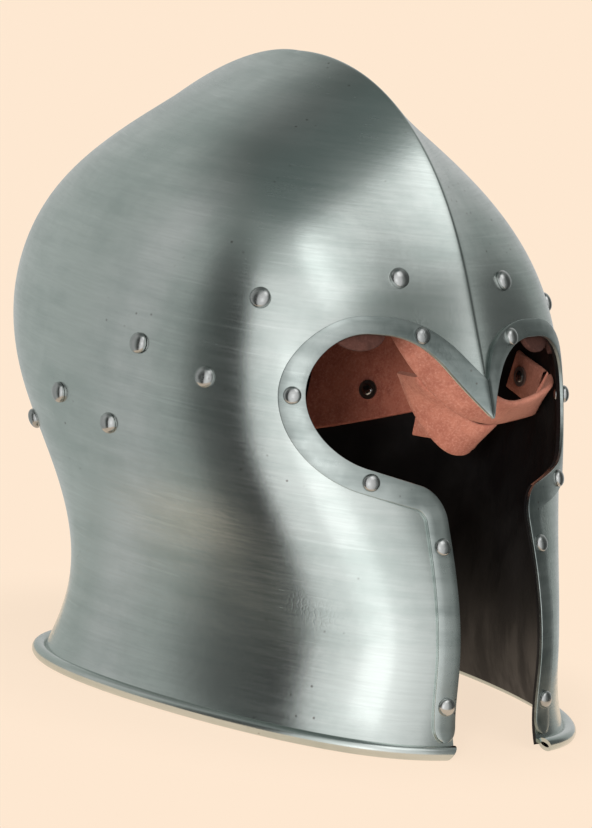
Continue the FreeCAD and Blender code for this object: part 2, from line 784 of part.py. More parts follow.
def strap_fold():
    """The buckle strap's end, folded round the buckle's bar, with a slot for the prong."""
    bar = BUCKLE_BAR
    lean_x = bar.x - FOLD_INSIDE + FOLD_GAP
    lean_z = bar.z + FOLD_LEAN_RISE
    places = [
        flat(bar.x - FOLD_OUTSIDE, bar.z),
        flat(bar.x - FOLD_OUTSIDE, FOLD_TOP),
        flat(bar.x - FOLD_INSIDE, FOLD_TOP),
        flat(bar.x - FOLD_INSIDE, bar.z),
        flat(bar.x + FOLD_INSIDE, bar.z),
        flat(lean_x, lean_z),
        flat(lean_x, FOLD_TOP),
        flat(lean_x + STRAP_THICKNESS, FOLD_TOP),
        flat(lean_x + STRAP_THICKNESS, lean_z),
        flat(bar.x + FOLD_OUTSIDE, bar.z),
    ]
    curves = [Part.LineSegment(start, end) for start, end in zip(places[:3], places[1:4])]
    curves.append(Part.Arc(places[3], flat(bar.x, bar.z - FOLD_INSIDE), places[4]))
    curves += [Part.LineSegment(start, end) for start, end in zip(places[4:9], places[5:])]
    curves.append(Part.Arc(places[9], flat(bar.x, bar.z - FOLD_OUTSIDE), places[0]))
    fold = prism(curves, Vector(0, bar.y - STRAP_WIDTH / 2, 0), Vector(0, STRAP_WIDTH, 0))
    low = FOLD_OUTSIDE + FOLD_GAP
    corner = Vector(bar.x - 2 * FOLD_OUTSIDE, bar.y - SLOT_WIDTH / 2, bar.z - low)
    return fold.cut(Part.makeBox(4 * FOLD_OUTSIDE, SLOT_WIDTH, SLOT_RISE + low, corner))


def buckle_strap():
    """The right front strap, drawn on the left: down from the wall and folded round the buckle's bar."""
    root = strap_root(STRAP_RIVETS[0], STRAP_INSETS[0], Vector(0, 0, -1))
    end = Vector(BUCKLE_BAR.x - FOLD_INSIDE - STRAP_THICKNESS / 2, BUCKLE_BAR.y, FOLD_TOP)
    drop = ribbon(root + [
        ((root[1][0] + end) * 0.5 + Vector(0, 0, 2.0), LEVEL),
        (end + Vector(0, 0, STRAP_END / 2), LEVEL),
        (end - Vector(0, 0, 1.0), LEVEL),
    ])
    return drop.fuse(strap_fold())


def joint_seat():
    """Seat of the rivet that joins the right straps, drawn on the left, on the folded end's outer face."""
    outer_x = BUCKLE_BAR.x - FOLD_INSIDE + FOLD_GAP + STRAP_THICKNESS
    return Vector(outer_x, BUCKLE_BAR.y, BUCKLE_BAR.z + JOINT_RIVET_RISE), Vector(1, 0, 0)


def side_strap():
    """The right rear strap, drawn on the left: from the wall to the buckle strap's inner face."""
    inner_x = BUCKLE_BAR.x - FOLD_OUTSIDE - LAP_GAP - STRAP_THICKNESS / 2
    end = Vector(inner_x, BUCKLE_BAR.y, BUCKLE_BAR.z + JOINT_RIVET_RISE)
    root = strap_root(STRAP_RIVETS[1], STRAP_INSETS[1], Vector(0, -0.9, -0.3))
    tilted = Vector(0, 0.25, 0.97)
    return ribbon(root + [
        ((root[1][0] + end) * 0.5 + Vector(-2.0, 0, 0), tilted),
        (end + Vector(0, 1.5 * STRAP_END, 1.0), tilted),
        (end + Vector(0, STRAP_END, 0), tilted),
        (end - Vector(0, STRAP_END, 0), tilted),
    ])


def make_buckle_frame():
    """Round wire frame, drawn on the left."""
    half_y = STRAP_WIDTH / 2 + BUCKLE_SIDE_GAP + BUCKLE_BAR_RADIUS
    low, high = BUCKLE_BAR_Z - BUCKLE_REACH, BUCKLE_BAR_Z
    corners = [(-half_y, high), (half_y, high), (half_y, low), (-half_y, low)]
    places = [Vector(BUCKLE_BAR_X, BUCKLE_BAR_Y + y, z) for y, z in corners]
    wire = Part.makePolygon(places + places[:1])
    edges = []
    for index, corner in enumerate(places):
        back = (places[index - 1] - corner).normalize() * BUCKLE_CORNER_RADIUS
        ahead = (places[(index + 1) % 4] - corner).normalize() * BUCKLE_CORNER_RADIUS
        middle = corner + (back + ahead) * (1 - math.sqrt(0.5))
        edges.append(Part.Arc(corner + back, middle, corner + ahead).toShape())
        following = places[(index + 1) % 4]
        edges.append(Part.LineSegment(corner + ahead, following - ahead).toShape())
    start = edges[1].Vertexes[0].Point
    ring = Part.Wire([Part.Circle(start, Vector(0, 1, 0), BUCKLE_BAR_RADIUS).toShape()])
    path = Part.Wire(edges[1:] + edges[:1])
    return path.makePipeShell([ring], True, False)


def make_prong():
    """Prong with its eye round the buckle's bar, drawn on the left."""
    bar = Vector(BUCKLE_BAR_X, BUCKLE_BAR_Y, BUCKLE_BAR_Z)
    bore = BUCKLE_BAR_RADIUS + PRONG_CLEARANCE
    low = Vector(bar.x, bar.y - PRONG_WIDTH / 2, bar.z)
    eye = Part.makeCylinder(bore + PRONG_RING_THICKNESS, PRONG_WIDTH, low, Vector(0, 1, 0))
    outer_x = bar.x - BUCKLE_BAR_RADIUS - FOLD_GAP
    length = BUCKLE_REACH + PRONG_OVERHANG
    arm = Part.makeBox(
        PRONG_THICKNESS,
        PRONG_WIDTH,
        length,
        Vector(outer_x - PRONG_THICKNESS, low.y, bar.z - length),
    )
    return eye.fuse(arm).cut(Part.makeCylinder(bore, PRONG_WIDTH, low, Vector(0, 1, 0)))


def export(shape, name):
    """Write one node."""
    shape.exportStep("parts/" + name + ".step")
    print(name, shape.isValid(), len(shape.Solids), round(shape.Volume, 1))


def make_face_trim(seats):
    """Both trim strips, with their rivet holes."""
    strip = make_trim().cut([shank_hole(seat) for seat in seats])
    export(strip, "face_trim_left")
    export(mirrored(strip), "face_trim_right")
    head = rivet(TRIM_HEAD_RADIUS, TRIM_HEAD_HEIGHT, TRIM_SEAT + PLATE_THICKNESS + 2 * SEAT_GAP)
    rivets = [placed(head, seat, TRIM_SEAT + SEAT_GAP) for seat in seats]
    export(Part.makeCompound(rivets), "trim_rivets_left")
    export(Part.makeCompound([mirrored(shape) for shape in rivets]), "trim_rivets_right")


def mirrored_seat(seat):
    """A seat on the right half."""
    return tuple(Vector(-place.x, place.y, place.z) for place in seat)


def leather_rivets(seats, insets):
    """Rivets that hold leather at the wall, and their washers, for seats with their leathers' insets."""
    rivets, washers = [], []
    for seat, inset in zip(seats, insets):
        inner = -PLATE_THICKNESS - inset - LEATHER_THICKNESS - LEATHER_GAP
        shape = rivet(LEATHER_HEAD_RADIUS, LEATHER_HEAD_HEIGHT, WASHER_THICKNESS + 2 * SEAT_GAP - inner)
        rivets.append(placed(shape, seat, SEAT_GAP))
        washers.append(washer(seat, inner))
    return rivets, washers


def make_liner(seats, middle_seat):
    """The four liner leathers, their rivets and washers."""
    room = liner_layer()
    every = seats + [mirrored_seat(seat) for seat in seats] + [middle_seat]
    holes = [shank_hole(seat) for seat in every]
    left = side_liner(room).cut(holes)
    export(left, "liner_side_left")
    export(mirrored(left), "liner_side_right")
    export(brow_liner(room).cut(holes), "liner_brow")
    export(back_liner(room).cut(holes), "liner_back")
    rivets, washers = leather_rivets(every, [LEATHER_GAP] * len(every))
    export(Part.makeCompound(rivets), "liner_rivets")
    export(Part.makeCompound(washers), "liner_washers")


def strap_joint(seat, leathers):
    """Rivet through straps that lie on each other, and the hole for its shank."""
    grip = leathers * STRAP_THICKNESS + (leathers + 1) * LEATHER_GAP + LAP_GAP
    shape = placed(rivet(JOINT_HEAD_RADIUS, JOINT_HEAD_HEIGHT, grip), seat, LEATHER_GAP)
    return shape, rod(seat, SHANK_RADIUS + SHANK_CLEARANCE, -grip - STRAP_THICKNESS, STRAP_THICKNESS)


def make_straps(seats):
    """The four chin straps, their rivets and the buckle."""
    front, rear = (shank_hole(seat) for seat in seats)
    joint, joint_hole = strap_joint(joint_seat(), 3)
    folded = folded_stations()
    dome, dome_hole = strap_joint(strap_seat(folded, FOLD_RIVET_STATION), 1)
    export(long_strap().cut(front), "chin_strap_front_left")
    export(ribbon(folded).cut([rear, dome_hole]), "chin_strap_rear_left")
    export(mirrored(buckle_strap().cut([front, joint_hole])), "chin_strap_front_right")
    export(mirrored(side_strap().cut([rear, joint_hole])), "chin_strap_rear_right")
    export(Part.makeCompound([mirrored(joint), dome]), "strap_joint_rivets")
    every = seats + [mirrored_seat(seat) for seat in seats]
    rivets, washers = leather_rivets(every, STRAP_INSETS + STRAP_INSETS)
    export(Part.makeCompound(rivets), "strap_rivets")
    export(Part.makeCompound(washers), "strap_washers")
    export(mirrored(make_buckle_frame()), "buckle_frame")
    export(mirrored(make_prong()), "buckle_prong")


if __name__ == "__main__":
    os.makedirs("parts", exist_ok=True)
    trim_places = trim_seats()
    liner_places = liner_seats()
    strap_places = strap_seats()
    middle_place = back_seat()
    holes = both_sides([shank_hole(seat) for seat in trim_places + liner_places + strap_places])
    export(make_skull(holes + [shank_hole(middle_place)]), "skull")
    make_face_trim(trim_places)
    make_liner(liner_places, middle_place)
    make_straps(strap_places)
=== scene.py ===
"""Looks of the barbute: plate, face trim, rivets, liner leathers and chin straps.

Sizes in the classes are in millimetres; meshes are made in metres.
"""

import logging
import math
from dataclasses import dataclass, field
from enum import Enum
from typing import Iterable, Optional, Sequence

import bmesh
import bpy
import numpy as np
from mathutils import Matrix, Vector

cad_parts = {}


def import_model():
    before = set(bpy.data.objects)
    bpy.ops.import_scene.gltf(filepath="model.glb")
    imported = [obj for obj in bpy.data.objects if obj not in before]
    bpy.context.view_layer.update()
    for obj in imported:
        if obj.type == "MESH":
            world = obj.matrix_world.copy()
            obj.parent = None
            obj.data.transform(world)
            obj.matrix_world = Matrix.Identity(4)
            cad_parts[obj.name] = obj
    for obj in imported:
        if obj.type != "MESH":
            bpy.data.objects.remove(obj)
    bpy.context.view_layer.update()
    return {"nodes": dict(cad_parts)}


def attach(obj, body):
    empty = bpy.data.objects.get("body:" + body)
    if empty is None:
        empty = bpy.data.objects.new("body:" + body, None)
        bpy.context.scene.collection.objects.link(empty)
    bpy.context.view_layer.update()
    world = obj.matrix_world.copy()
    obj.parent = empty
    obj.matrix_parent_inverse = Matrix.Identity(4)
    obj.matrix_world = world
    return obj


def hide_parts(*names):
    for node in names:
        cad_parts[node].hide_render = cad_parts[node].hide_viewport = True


LOG = logging.getLogger("barbute")
MM = 0.001

Color = tuple[float, float, float]
Array = np.ndarray
Seat = tuple[Array, Array]
Socket = bpy.types.NodeSocket
FLIP = np.array([-1.0, 1.0, 1.0])
GUESSES = 121
SOLVER_STEPS = 9
TINY = 1e-6
RIVET_SPIN, RIVET_LEAN, RIVET_UNEVEN = 0.9, 2.2, 5.1


class Side(Enum):
    """Which half of the helmet a piece is on, as the wearer sees it."""

    LEFT = 1
    RIGHT = -1

    @property
    def word(self) -> str:
        """The side's name in lower case."""
        return self.name.lower()


# Curves and the plate's surface


def smooth(share: Array) -> Array:
    """Smooth step from 0 to 1.

    Args:
        share: Values, clipped to 0 and 1.

    Returns:
        The eased values.
    """
    share = np.clip(share, 0.0, 1.0)
    return share * share * (3.0 - 2.0 * share)


class StationSpline:
    """Smooth curve through values at places, with end slopes from the four nearest values."""

    def __init__(self, places: Sequence[float], values: Sequence[float]) -> None:
        """Solves the curve's slopes.

        Args:
            places: Rising places along the curve.
            values: Value at each place.
        """
        x, y = np.array(places, float), np.array(values, float)
        gaps, rises = np.diff(x), np.diff(y) / np.diff(x)
        count = len(x)
        matrix, right = np.zeros((count, count)), np.zeros(count)
        matrix[0, 0] = matrix[-1, -1] = 1.0
        right[0] = np.polyfit(x[:4] - x[0], y[:4], 3)[2]
        right[-1] = np.polyfit(x[-4:] - x[-1], y[-4:], 3)[2]
        for row in range(1, count - 1):
            before, after = gaps[row - 1], gaps[row]
            matrix[row, row - 1 : row + 2] = (after, 2.0 * (before + after), before)
            right[row] = 3.0 * (rises[row - 1] * after + rises[row] * before)
        self.x, self.y, self.gaps = x, y, gaps
        self.slopes = np.linalg.solve(matrix, right)

    def __call__(self, at: Array) -> Array:
        """Values at places.

        Args:
            at: Places along the curve.

        Returns:
            The curve's values there.
        """
        part = np.clip(np.searchsorted(self.x, at, side="right") - 1, 0, len(self.gaps) - 1)
        gap = self.gaps[part]
        t = (at - self.x[part]) / gap
        low, high = self.y[part], self.y[part + 1]
        rise, fall = self.slopes[part] * gap, self.slopes[part + 1] * gap
        return (
            low * (1 + 2 * t) * (1 - t) ** 2
            + rise * t * (1 - t) ** 2
            + high * (3 - 2 * t) * t**2
            + fall * (t - 1) * t**2
        )


@dataclass
class PlateSurface:
    """The plate's outside.

    A turn runs from 0 at the front to pi at the back, and up runs from 0 at the rim to 1 at the apex.
    """

    stations: tuple[tuple[float, float, float, float], ...] = (
        (3.1, 103.0, 138.5, 77.5),
        (13.5, 98.2, 135.5, 76.0),
        (38.5, 93.2, 133.6, 75.5),
        (74.0, 95.2, 124.6, 101.5),
        (111.5, 103.6, 107.7, 139.5),
        (156.0, 104.6, 91.5, 157.0),
        (197.5, 93.0, 71.3, 142.0),
        (231.5, 66.8, 40.0, 103.0),
        (253.0, 30.0, 0.5, 59.5),
        (257.2, 0.0, -32.0, 32.0),
    )
    apex_setback: float = 32.0
    squareness: tuple[float, float, float] = (0.62, 0.97, 0.77)
    keel_centre: float = 117.5
    keel_rises: tuple[tuple[float, float], ...] = (
        (-22.0, 0.0),
        (5.0, 10.7),
        (35.0, 7.3),
        (90.0, 18.2),
        (140.0, 12.0),
        (190.0, 1.8),
        (225.0, 0.0),
    )
    keel_reach: tuple[float, float] = (47.0, 72.0)
    keel_round: float = 0.9

    def __post_init__(self) -> None:
        """Makes the curves through the stations."""
        steps = [0.0]
        for low, high in zip(self.stations, self.stations[1:]):
            steps.append(steps[-1] + math.hypot(high[0] - low[0], high[1] - low[1]))
        places = [step / steps[-1] for step in steps]
        columns = list(zip(*self.stations))
        curves = [StationSpline(places, column) for column in columns]
        self.height, self.width, self.front, self.back = curves
        turns, ups = np.meshgrid(np.linspace(0.0, math.pi, GUESSES), np.linspace(0.0, 0.97, GUESSES))
        self.guess = (turns.ravel(), ups.ravel(), self.point(turns.ravel(), ups.ravel()))

    def steady(self, at: Array) -> Array:
        """The keel's rise at angles round its centre, with no overshoot.

        Args:
            at: Angles in degrees.

        Returns:
            Rises in millimetres.
        """
        x, y = (np.array(column) for column in zip(*self.keel_rises))
        at = np.clip(at, x[0], x[-1])
        gaps = np.diff(x)
        slopes = np.diff(y) / gaps
        low, high = slopes[:-1], slopes[1:]
        same = low * high > 0
        inner = np.where(same, 2 * low * high / np.where(same, low + high, 1.0), 0.0)
        ends = np.concatenate([[0.0], inner, [0.0]])
        part = np.clip(np.searchsorted(x, at) - 1, 0, len(gaps) - 1)
        gap = gaps[part]
        t = (at - x[part]) / gap
        curve = y[part] * (1 + 2 * t) * (1 - t) ** 2 + y[part + 1] * (3 - 2 * t) * t**2
        return curve + gap * t * (1 - t) * (ends[part] * (1 - t) - ends[part + 1] * t)

    def point(self, turn: Array, up: Array) -> Array:
        """Points of the left half's outside.

        Args:
            turn: Turns round the plate.
            up: Shares of the way from the rim to the apex.

        Returns:
            Points in millimetres, one row each.
        """
        turn, up = np.broadcast_arrays(np.asarray(turn, float), np.asarray(up, float))
        width, height = self.width(up), self.height(up)
        front, back = self.front(up), self.back(up)
        cosine, sine = np.cos(turn), np.sin(turn)
        rim, crown, rear = self.squareness
        fore = rim + (crown - rim) * smooth(up**0.8)
        power = (fore + rear) / 2 + (fore - rear) / 2 * cosine
        x = width * np.abs(sine) ** power
        middle = (back - front) / 2
        side = self.apex_setback * smooth(2 * up - 1)
        y = middle - (back + front) / 2 * cosine + (side - middle) * sine**2
        angle = np.degrees(np.arctan2(height - self.keel_centre, -y))
        angle = np.where(angle < -90, angle + 360, angle)
        near, far = self.keel_reach
        reach = near + (far - near) * smooth((angle - 15) / 70)
        across = np.sqrt(x**2 + self.keel_round**2)
        rise = self.steady(angle) * (1 - np.minimum(across / reach, 1)) ** 3
        length = np.hypot(y, height - self.keel_centre)
        above = height - self.keel_centre
        return np.stack([x, y + y / length * rise, height + above / length * rise], -1)

    def normal(self, turn: Array, up: Array) -> Array:
        """Outward normals of the left half.

        Args:
            turn: Turns round the plate.
            up: Shares of the way up.

        Returns:
            Unit normals, one row each.
        """
        turn, up = np.broadcast_arrays(np.asarray(turn, float), np.asarray(up, float))
        small = 1e-4
        low, high = np.maximum(turn - small, 0.0), np.minimum(turn + small, math.pi)
        down, above = np.maximum(up - small, 0.0), np.minimum(up + small, 1.0)
        sideways = self.point(high, up) - self.point(low, up)
        upwards = self.point(turn, above) - self.point(turn, down)
        normal = np.cross(sideways, upwards)
        middle = (turn < small) | (turn > math.pi - small)
        normal[..., 0] = np.where(middle, 0.0, normal[..., 0])
        length = np.linalg.norm(normal, axis=-1, keepdims=True)
        flat = length[..., 0] < 1e-12
        return np.where(flat[..., None], (0.0, 0.0, 1.0), normal / np.where(flat[..., None], 1.0, length))

    def solve(self, first: Array, second: Array, axes: tuple[int, int]) -> tuple[Array, Array]:
        """Points and normals of the left half where two of their coordinates are given.

        Args:
            first: Wanted first coordinates.
            second: Wanted second coordinates.
            axes: Which coordinates these are.

        Returns:
            Points and outward normals.
        """
        turns, ups, points = self.guess
        seen = points[:, 1] < 20.0 if axes == (0, 2) else np.ones(len(points), bool)
        turns, ups, points = turns[seen], ups[seen], points[seen]
        wanted = np.stack([np.asarray(first, float), np.asarray(second, float)], -1)
        gap = ((points[None, :, axes] - wanted[:, None, :]) ** 2).sum(-1)
        best = gap.argmin(1)
        turn, up = turns[best].copy(), ups[best].copy()
        small = 1e-5
        for _ in range(SOLVER_STEPS):
            here = self.point(turn, up)[:, axes]
            by_turn = (self.point(turn + small, up)[:, axes] - here) / small
            by_up = (self.point(turn, up + small)[:, axes] - here) / small
            miss = wanted - here
            area = by_turn[:, 0] * by_up[:, 1] - by_turn[:, 1] * by_up[:, 0]
            area = np.where(np.abs(area) < TINY, TINY, area)
            more_turn = (miss[:, 0] * by_up[:, 1] - miss[:, 1] * by_up[:, 0]) / area
            more_up = (by_turn[:, 0] * miss[:, 1] - by_turn[:, 1] * miss[:, 0]) / area
            turn, up = turn + np.clip(more_turn, -0.05, 0.05), up + np.clip(more_up, -0.02, 0.02)
            turn, up = np.clip(turn, 1e-4, math.pi - 1e-4), np.clip(up, 0.0, 0.999)
        return self.point(turn, up), self.normal(turn, up)

    def from_front(self, x: Array, z: Array) -> tuple[Array, Array]:
        """Points and normals at places seen from the front."""
        return self.solve(np.maximum(x, 0.02), z, (0, 2))

    def from_side(self, y: Array, z: Array) -> tuple[Array, Array]:
        """Points and normals at places seen from the side."""
        return self.solve(y, z, (1, 2))


PLATE = PlateSurface()


# Mesh helpers


def deselect() -> None:
    """Leaves nothing selected."""
    for thing in bpy.context.selected_objects:
        thing.select_set(False)


def make_object(
    name: str, points: Iterable[Sequence[float]], faces: Iterable[Sequence[int]]
) -> bpy.types.Object:
    """Object from points in millimetres.

    Args:
        name: The object's name.
        points: Vertex places in millimetres.
        faces: Vertex numbers of each face.

    Returns:
        The new object, linked to the scene.
    """
    mesh = bpy.data.meshes.new(name)
    mesh.from_pydata([tuple(float(value) * MM for value in place) for place in points], [], list(faces))
    mesh.validate()
    thing = bpy.data.objects.new(name, mesh)
    bpy.context.scene.collection.objects.link(thing)
    return thing


def outward(thing: bpy.types.Object) -> None:
    """Merges doubles and turns the faces outwards."""
    shape = bmesh.new()
    shape.from_mesh(thing.data)
    bmesh.ops.remove_doubles(shape, verts=shape.verts, dist=1e-7)
    bmesh.ops.recalc_face_normals(shape, faces=shape.faces)
    shape.to_mesh(thing.data)
    shape.free()


def smooth_shading(thing: bpy.types.Object, degrees: float = 35.0) -> None:
    """Smooth shading with sharp edges over an angle."""
    deselect()
    bpy.context.view_layer.objects.active = thing
    thing.select_set(True)
    bpy.ops.object.shade_smooth_by_angle(angle=math.radians(degrees))
    thing.select_set(False)


def apply_modifier(thing: bpy.types.Object, name: str) -> None:
    """Applies one modifier."""
    deselect()
    bpy.context.view_layer.objects.active = thing
    thing.select_set(True)
    bpy.ops.object.modifier_apply(modifier=name)
    thing.select_set(False)


def joined(things: Sequence[bpy.types.Object], name: str) -> bpy.types.Object:
    """Several objects as one.

    Args:
        things: The objects.
        name: The joined object's name.

    Returns:
        The joined object.
    """
    deselect()
    for thing in things:
        thing.select_set(True)
    bpy.context.view_layer.objects.active = things[0]
    bpy.ops.object.join()
    things[0].name = name
    things[0].data.name = name
    things[0].select_set(False)
    return things[0]


def tube_faces(rows: int, columns: int) -> list[tuple[int, ...]]:
    """Quads of a grid whose columns close round.

    Args:
        rows: Number of rings.
        columns: Points in each ring.

    Returns:
        The faces' vertex numbers.
    """
    faces = []
    for row in range(rows - 1):
        here, after = row * columns, (row + 1) * columns
        for column in range(columns):
            beside = (column + 1) % columns
            faces.append((here + column, here + beside, after + beside, after + column))
    return faces


def tube(name: str, rings: Sequence[Sequence[Sequence[float]]]) -> bpy.types.Object:
    """Closed solid through rings of points, with a face on both ends."""
    columns = len(rings[0])
    faces = tube_faces(len(rings), columns)
    faces.append(tuple(range(columns)))
    last = (len(rings) - 1) * columns
    faces.append(tuple(last + column for column in range(columns)))
    thing = make_object(name, [place for ring in rings for place in ring], faces)
    outward(thing)
    return thing


def dress(thing: bpy.types.Object, material: bpy.types.Material) -> None:
    """Gives an object one material."""
    thing.data.materials.clear()
    thing.data.materials.append(material)


def place_piece(thing: bpy.types.Object, nodes: Sequence[str], body: str = "root") -> None:
    """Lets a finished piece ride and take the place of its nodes.

    Args:
        thing: The piece.
        nodes: The nodes that it stands for.
        body: The body that it rides on.
    """
    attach(thing, body)
    if nodes:
        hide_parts(*nodes)
    LOG.info("%s: %d faces", thing.name, len(thing.data.polygons))


# The plate


@dataclass
class FaceOpening:
    """Outline of the face opening's left half, seen from the front."""

    eye: tuple[float, float, float] = (52.0, 141.4, 27.3)
    brow: tuple[float, float] = (45.3, 39.6)
    nasal_angle: float = 47.5
    cheek_angle: float = 13.5
    slit: float = 25.2
    corner: float = 14.0

    def path(self, grow: float, bottom: float, step: float) -> Array:
        """Places along the outline, from the nasal tip down to a height.

        Args:
            grow: How far the outline moves into the metal.
            bottom: Height of its end.
            step: Distance between places.

        Returns:
            Places (x, z), one row each.
        """
        eye_x, eye_z, eye_r = self.eye
        brow_x, brow_r = self.brow
        brow_z = eye_z + eye_r - brow_r
        places: list[tuple[float, float]] = []

        def on_circle(x: float, z: float, radius: float, degrees: float) -> tuple[float, float]:
            """Place on a circle."""
            angle = math.radians(degrees)
            return x + radius * math.cos(angle), z + radius * math.sin(angle)

        def line(start: tuple[float, float], end: tuple[float, float]) -> None:
            """Adds places along a line."""
            count = max(1, round(math.dist(start, end) / step))
            places.extend(
                (start[0] + (end[0] - start[0]) * k / count, start[1] + (end[1] - start[1]) * k / count)
                for k in range(count)
            )

        def arc(x: float, z: float, radius: float, start: float, end: float) -> tuple[float, float]:
            """Adds places along an arc and gives its end."""
            count = max(2, round(abs(math.radians(end - start)) * radius / step))
            places.extend(on_circle(x, z, radius, start + (end - start) * k / count) for k in range(count))
            return on_circle(x, z, radius, end)

        brow_start = on_circle(brow_x, brow_z, brow_r + grow, 90 + self.nasal_angle)
        tip = (0.0, brow_start[1] - brow_start[0] * math.tan(math.radians(self.nasal_angle)))
        line(tip, brow_start)
        brow_end = arc(brow_x, brow_z, brow_r + grow, 90 + self.nasal_angle, 90)
        line(brow_end, (eye_x, eye_z + eye_r + grow))
        eye_end = arc(eye_x, eye_z, eye_r + grow, 90, self.cheek_angle - 90)
        radius = self.corner - grow
        slope = math.radians(self.cheek_angle)
        corner_x = self.slit + grow + radius
        corner_z = eye_end[1] + (corner_x - eye_end[0]) * math.tan(slope) - radius / math.cos(slope)
        line(eye_end, on_circle(corner_x, corner_z, radius, 90 + self.cheek_angle))
        slit_top = arc(corner_x, corner_z, radius, 90 + self.cheek_angle, 180)
        line(slit_top, (self.slit + grow, bottom))
        places.append((self.slit + grow, bottom))
        return np.array(places)


OPENING = FaceOpening()


@dataclass
class Plate:
    """The raised plate with its rolled rim."""

    thickness: float = 1.6
    overhang: float = 0.5
    bead_radius: float = 3.1
    bead_bore: float = 1.5
    bead_stand: float = 1.86
    bead_start: float = 26.7
    bead_slant: float = 4.2
    bead_steps: int = 150
    bead_sides: int = 22
    slanted_rings: int = 7
    round_steps: int = 132
    up_steps: int = 128
    crowding: tuple[float, float, float] = (1.55, 1.12, 1.05)
    cutter_span: tuple[float, float] = (-220.0, -40.0)

    def shell(self) -> bpy.types.Object:
        """The plate before its opening is cut."""
        half = np.linspace(0.0, 1.0, self.round_steps + 1)
        front, top, _ = self.crowding
        even = np.where(half < 0.5, 0.5 * (2 * half) ** front, 1 - 0.5 * (2 - 2 * half) ** front)
        turns = math.pi * even
        ups = 1 - (1 - np.linspace(0.0, 1.0, self.up_steps + 1)[:-1]) ** top
        rows: list[Array] = []
        for offset in (0.0, -self.thickness):
            for up in ups:
                left = PLATE.point(turns, up) + PLATE.normal(turns, up) * offset
                left[0, 0] = left[-1, 0] = 0.0
                right = left[-2:0:-1] * FLIP
                rows.append(np.concatenate([left, right]))
        columns, height = len(rows[0]), len(ups)
        points = np.concatenate(rows)
        apex = PLATE.point(np.array([0.0]), np.array([1.0]))[0] * (0.0, 1.0, 1.0)
        points = np.concatenate([points, [apex, apex - (0.0, 0.0, self.thickness)]])
        faces = tube_faces(height, columns)
        inner = [tuple(place + height * columns for place in face[::-1]) for face in faces]
        top, under = len(points) - 2, len(points) - 1
        last = (height - 1) * columns
        low = height * columns
        for column in range(columns):
            beside = (column + 1) % columns
            faces.append((last + column, last + beside, top))
            inner.append((low + last + beside, low + last + column, under))
            inner.append((column, low + column, low + beside, beside))
        thing = make_object("skull_plate", points, faces + inner)
        outward(thing)
        return thing

    def cutter(self) -> bpy.types.Object:
        """Prism through the face opening."""
        left = OPENING.path(self.overhang, -12.0, 1.2)
        places = np.concatenate([left, (left * (-1.0, 1.0))[:0:-1]])
        near, far = self.cutter_span
        points = [(x, near, z) for x, z in places] + [(x, far, z) for x, z in places]
        count = len(places)
        faces = [(k, (k + 1) % count, count + (k + 1) % count, count + k) for k in range(count)]
        faces += [tuple(range(count)), tuple(range(count, 2 * count))]
        thing = make_object("opening_cutter", points, faces)
        outward(thing)
        return thing

    def build(self, outside: bpy.types.Material, inside: bpy.types.Material) -> bpy.types.Object:
        """The plate with its opening, painted inside.

        Args:
            outside: The polished steel.
            inside: The paint of its inner face.

        Returns:
            The plate.
        """
        thing = self.shell()
        cutter = self.cutter()
        cut = thing.modifiers.new("opening", "BOOLEAN")
        cut.operation, cut.solver, cut.object = "DIFFERENCE", "EXACT", cutter
        apply_modifier(thing, "opening")
        bpy.data.objects.remove(cutter)
        dress(thing, outside)
        thing.data.materials.append(inside)
        centre = Vector((0.0, 0.02, 0.12))
        for face in thing.data.polygons:
            out = face.center - centre
            out.z *= 0.4
            if face.normal.dot(out.normalized()) < -0.12:
                face.material_index = 1
        smooth_shading(thing, 40.0)
        return thing

    def bead(self, material: bpy.types.Material) -> bpy.types.Object:
        """The hollow rolled rim, cut at a slant at both cheeks."""
        start = 0.0
        while PLATE.point(np.array([start]), np.array([0.0]))[0, 0] < self.bead_start:
            start += 0.001
        turns = start + (math.pi - start) * np.linspace(0.0, 1.0, self.bead_steps) ** self.crowding[2]
        left = PLATE.point(turns, 0.0)
        ahead = np.gradient(left, axis=0)
        out = np.stack([ahead[:, 1], -ahead[:, 0], np.zeros(len(left))], -1)
        out /= np.linalg.norm(out, axis=1, keepdims=True)
        out *= np.where((out * left).sum(1) < 0, -1.0, 1.0)[:, None]
        out[-1] = (0.0, 1.0, 0.0)
        centres = left + out * self.bead_stand
        centres[-1, 0] = 0.0
        run = ahead / np.linalg.norm(ahead, axis=1, keepdims=True)
        centres = np.concatenate([centres[:-1], centres[::-1] * FLIP])
        out = np.concatenate([out[:-1], out[::-1] * FLIP])
        run = np.concatenate([run[:-1], run[::-1] * FLIP * -1])
        count = self.bead_sides
        rise = np.array([0, 0, 1.0])
        rings: list[list[Array]] = []
        for radius in (self.bead_radius, self.bead_bore):
            for number, (centre, away, along) in enumerate(zip(centres, out, run)):
                from_end = min(number, len(centres) - 1 - number)
                inward = along if number < len(centres) / 2 else -along
                ring = []
                for step in range(count):
                    angle = 2 * math.pi * step / count
                    place = centre + (away * math.cos(angle) + rise * math.sin(angle)) * radius
                    slant = (1 - math.sin(angle)) / 2 * self.bead_slant + (1 + math.cos(angle)) / 2 * 0.8
                    ring.append(place + inward * slant * max(0.0, 1 - from_end / self.slanted_rings))
                rings.append(ring)
        total = len(centres)
        points = [place for ring in rings for place in ring]
        outer = tube_faces(total, count)
        inner = [tuple(place + total * count for place in face) for face in outer]
        ends = []
        for row in (0, total - 1):
            outside, inside = row * count, (total + row) * count
            for step in range(count):
                beside = (step + 1) % count
                ends.append((outside + step, outside + beside, inside + beside, inside + step))
        thing = make_object("rim_bead", points, outer + inner + ends)
        outward(thing)
        dress(thing, material)
        smooth_shading(thing, 40.0)
        return thing


# The face trim


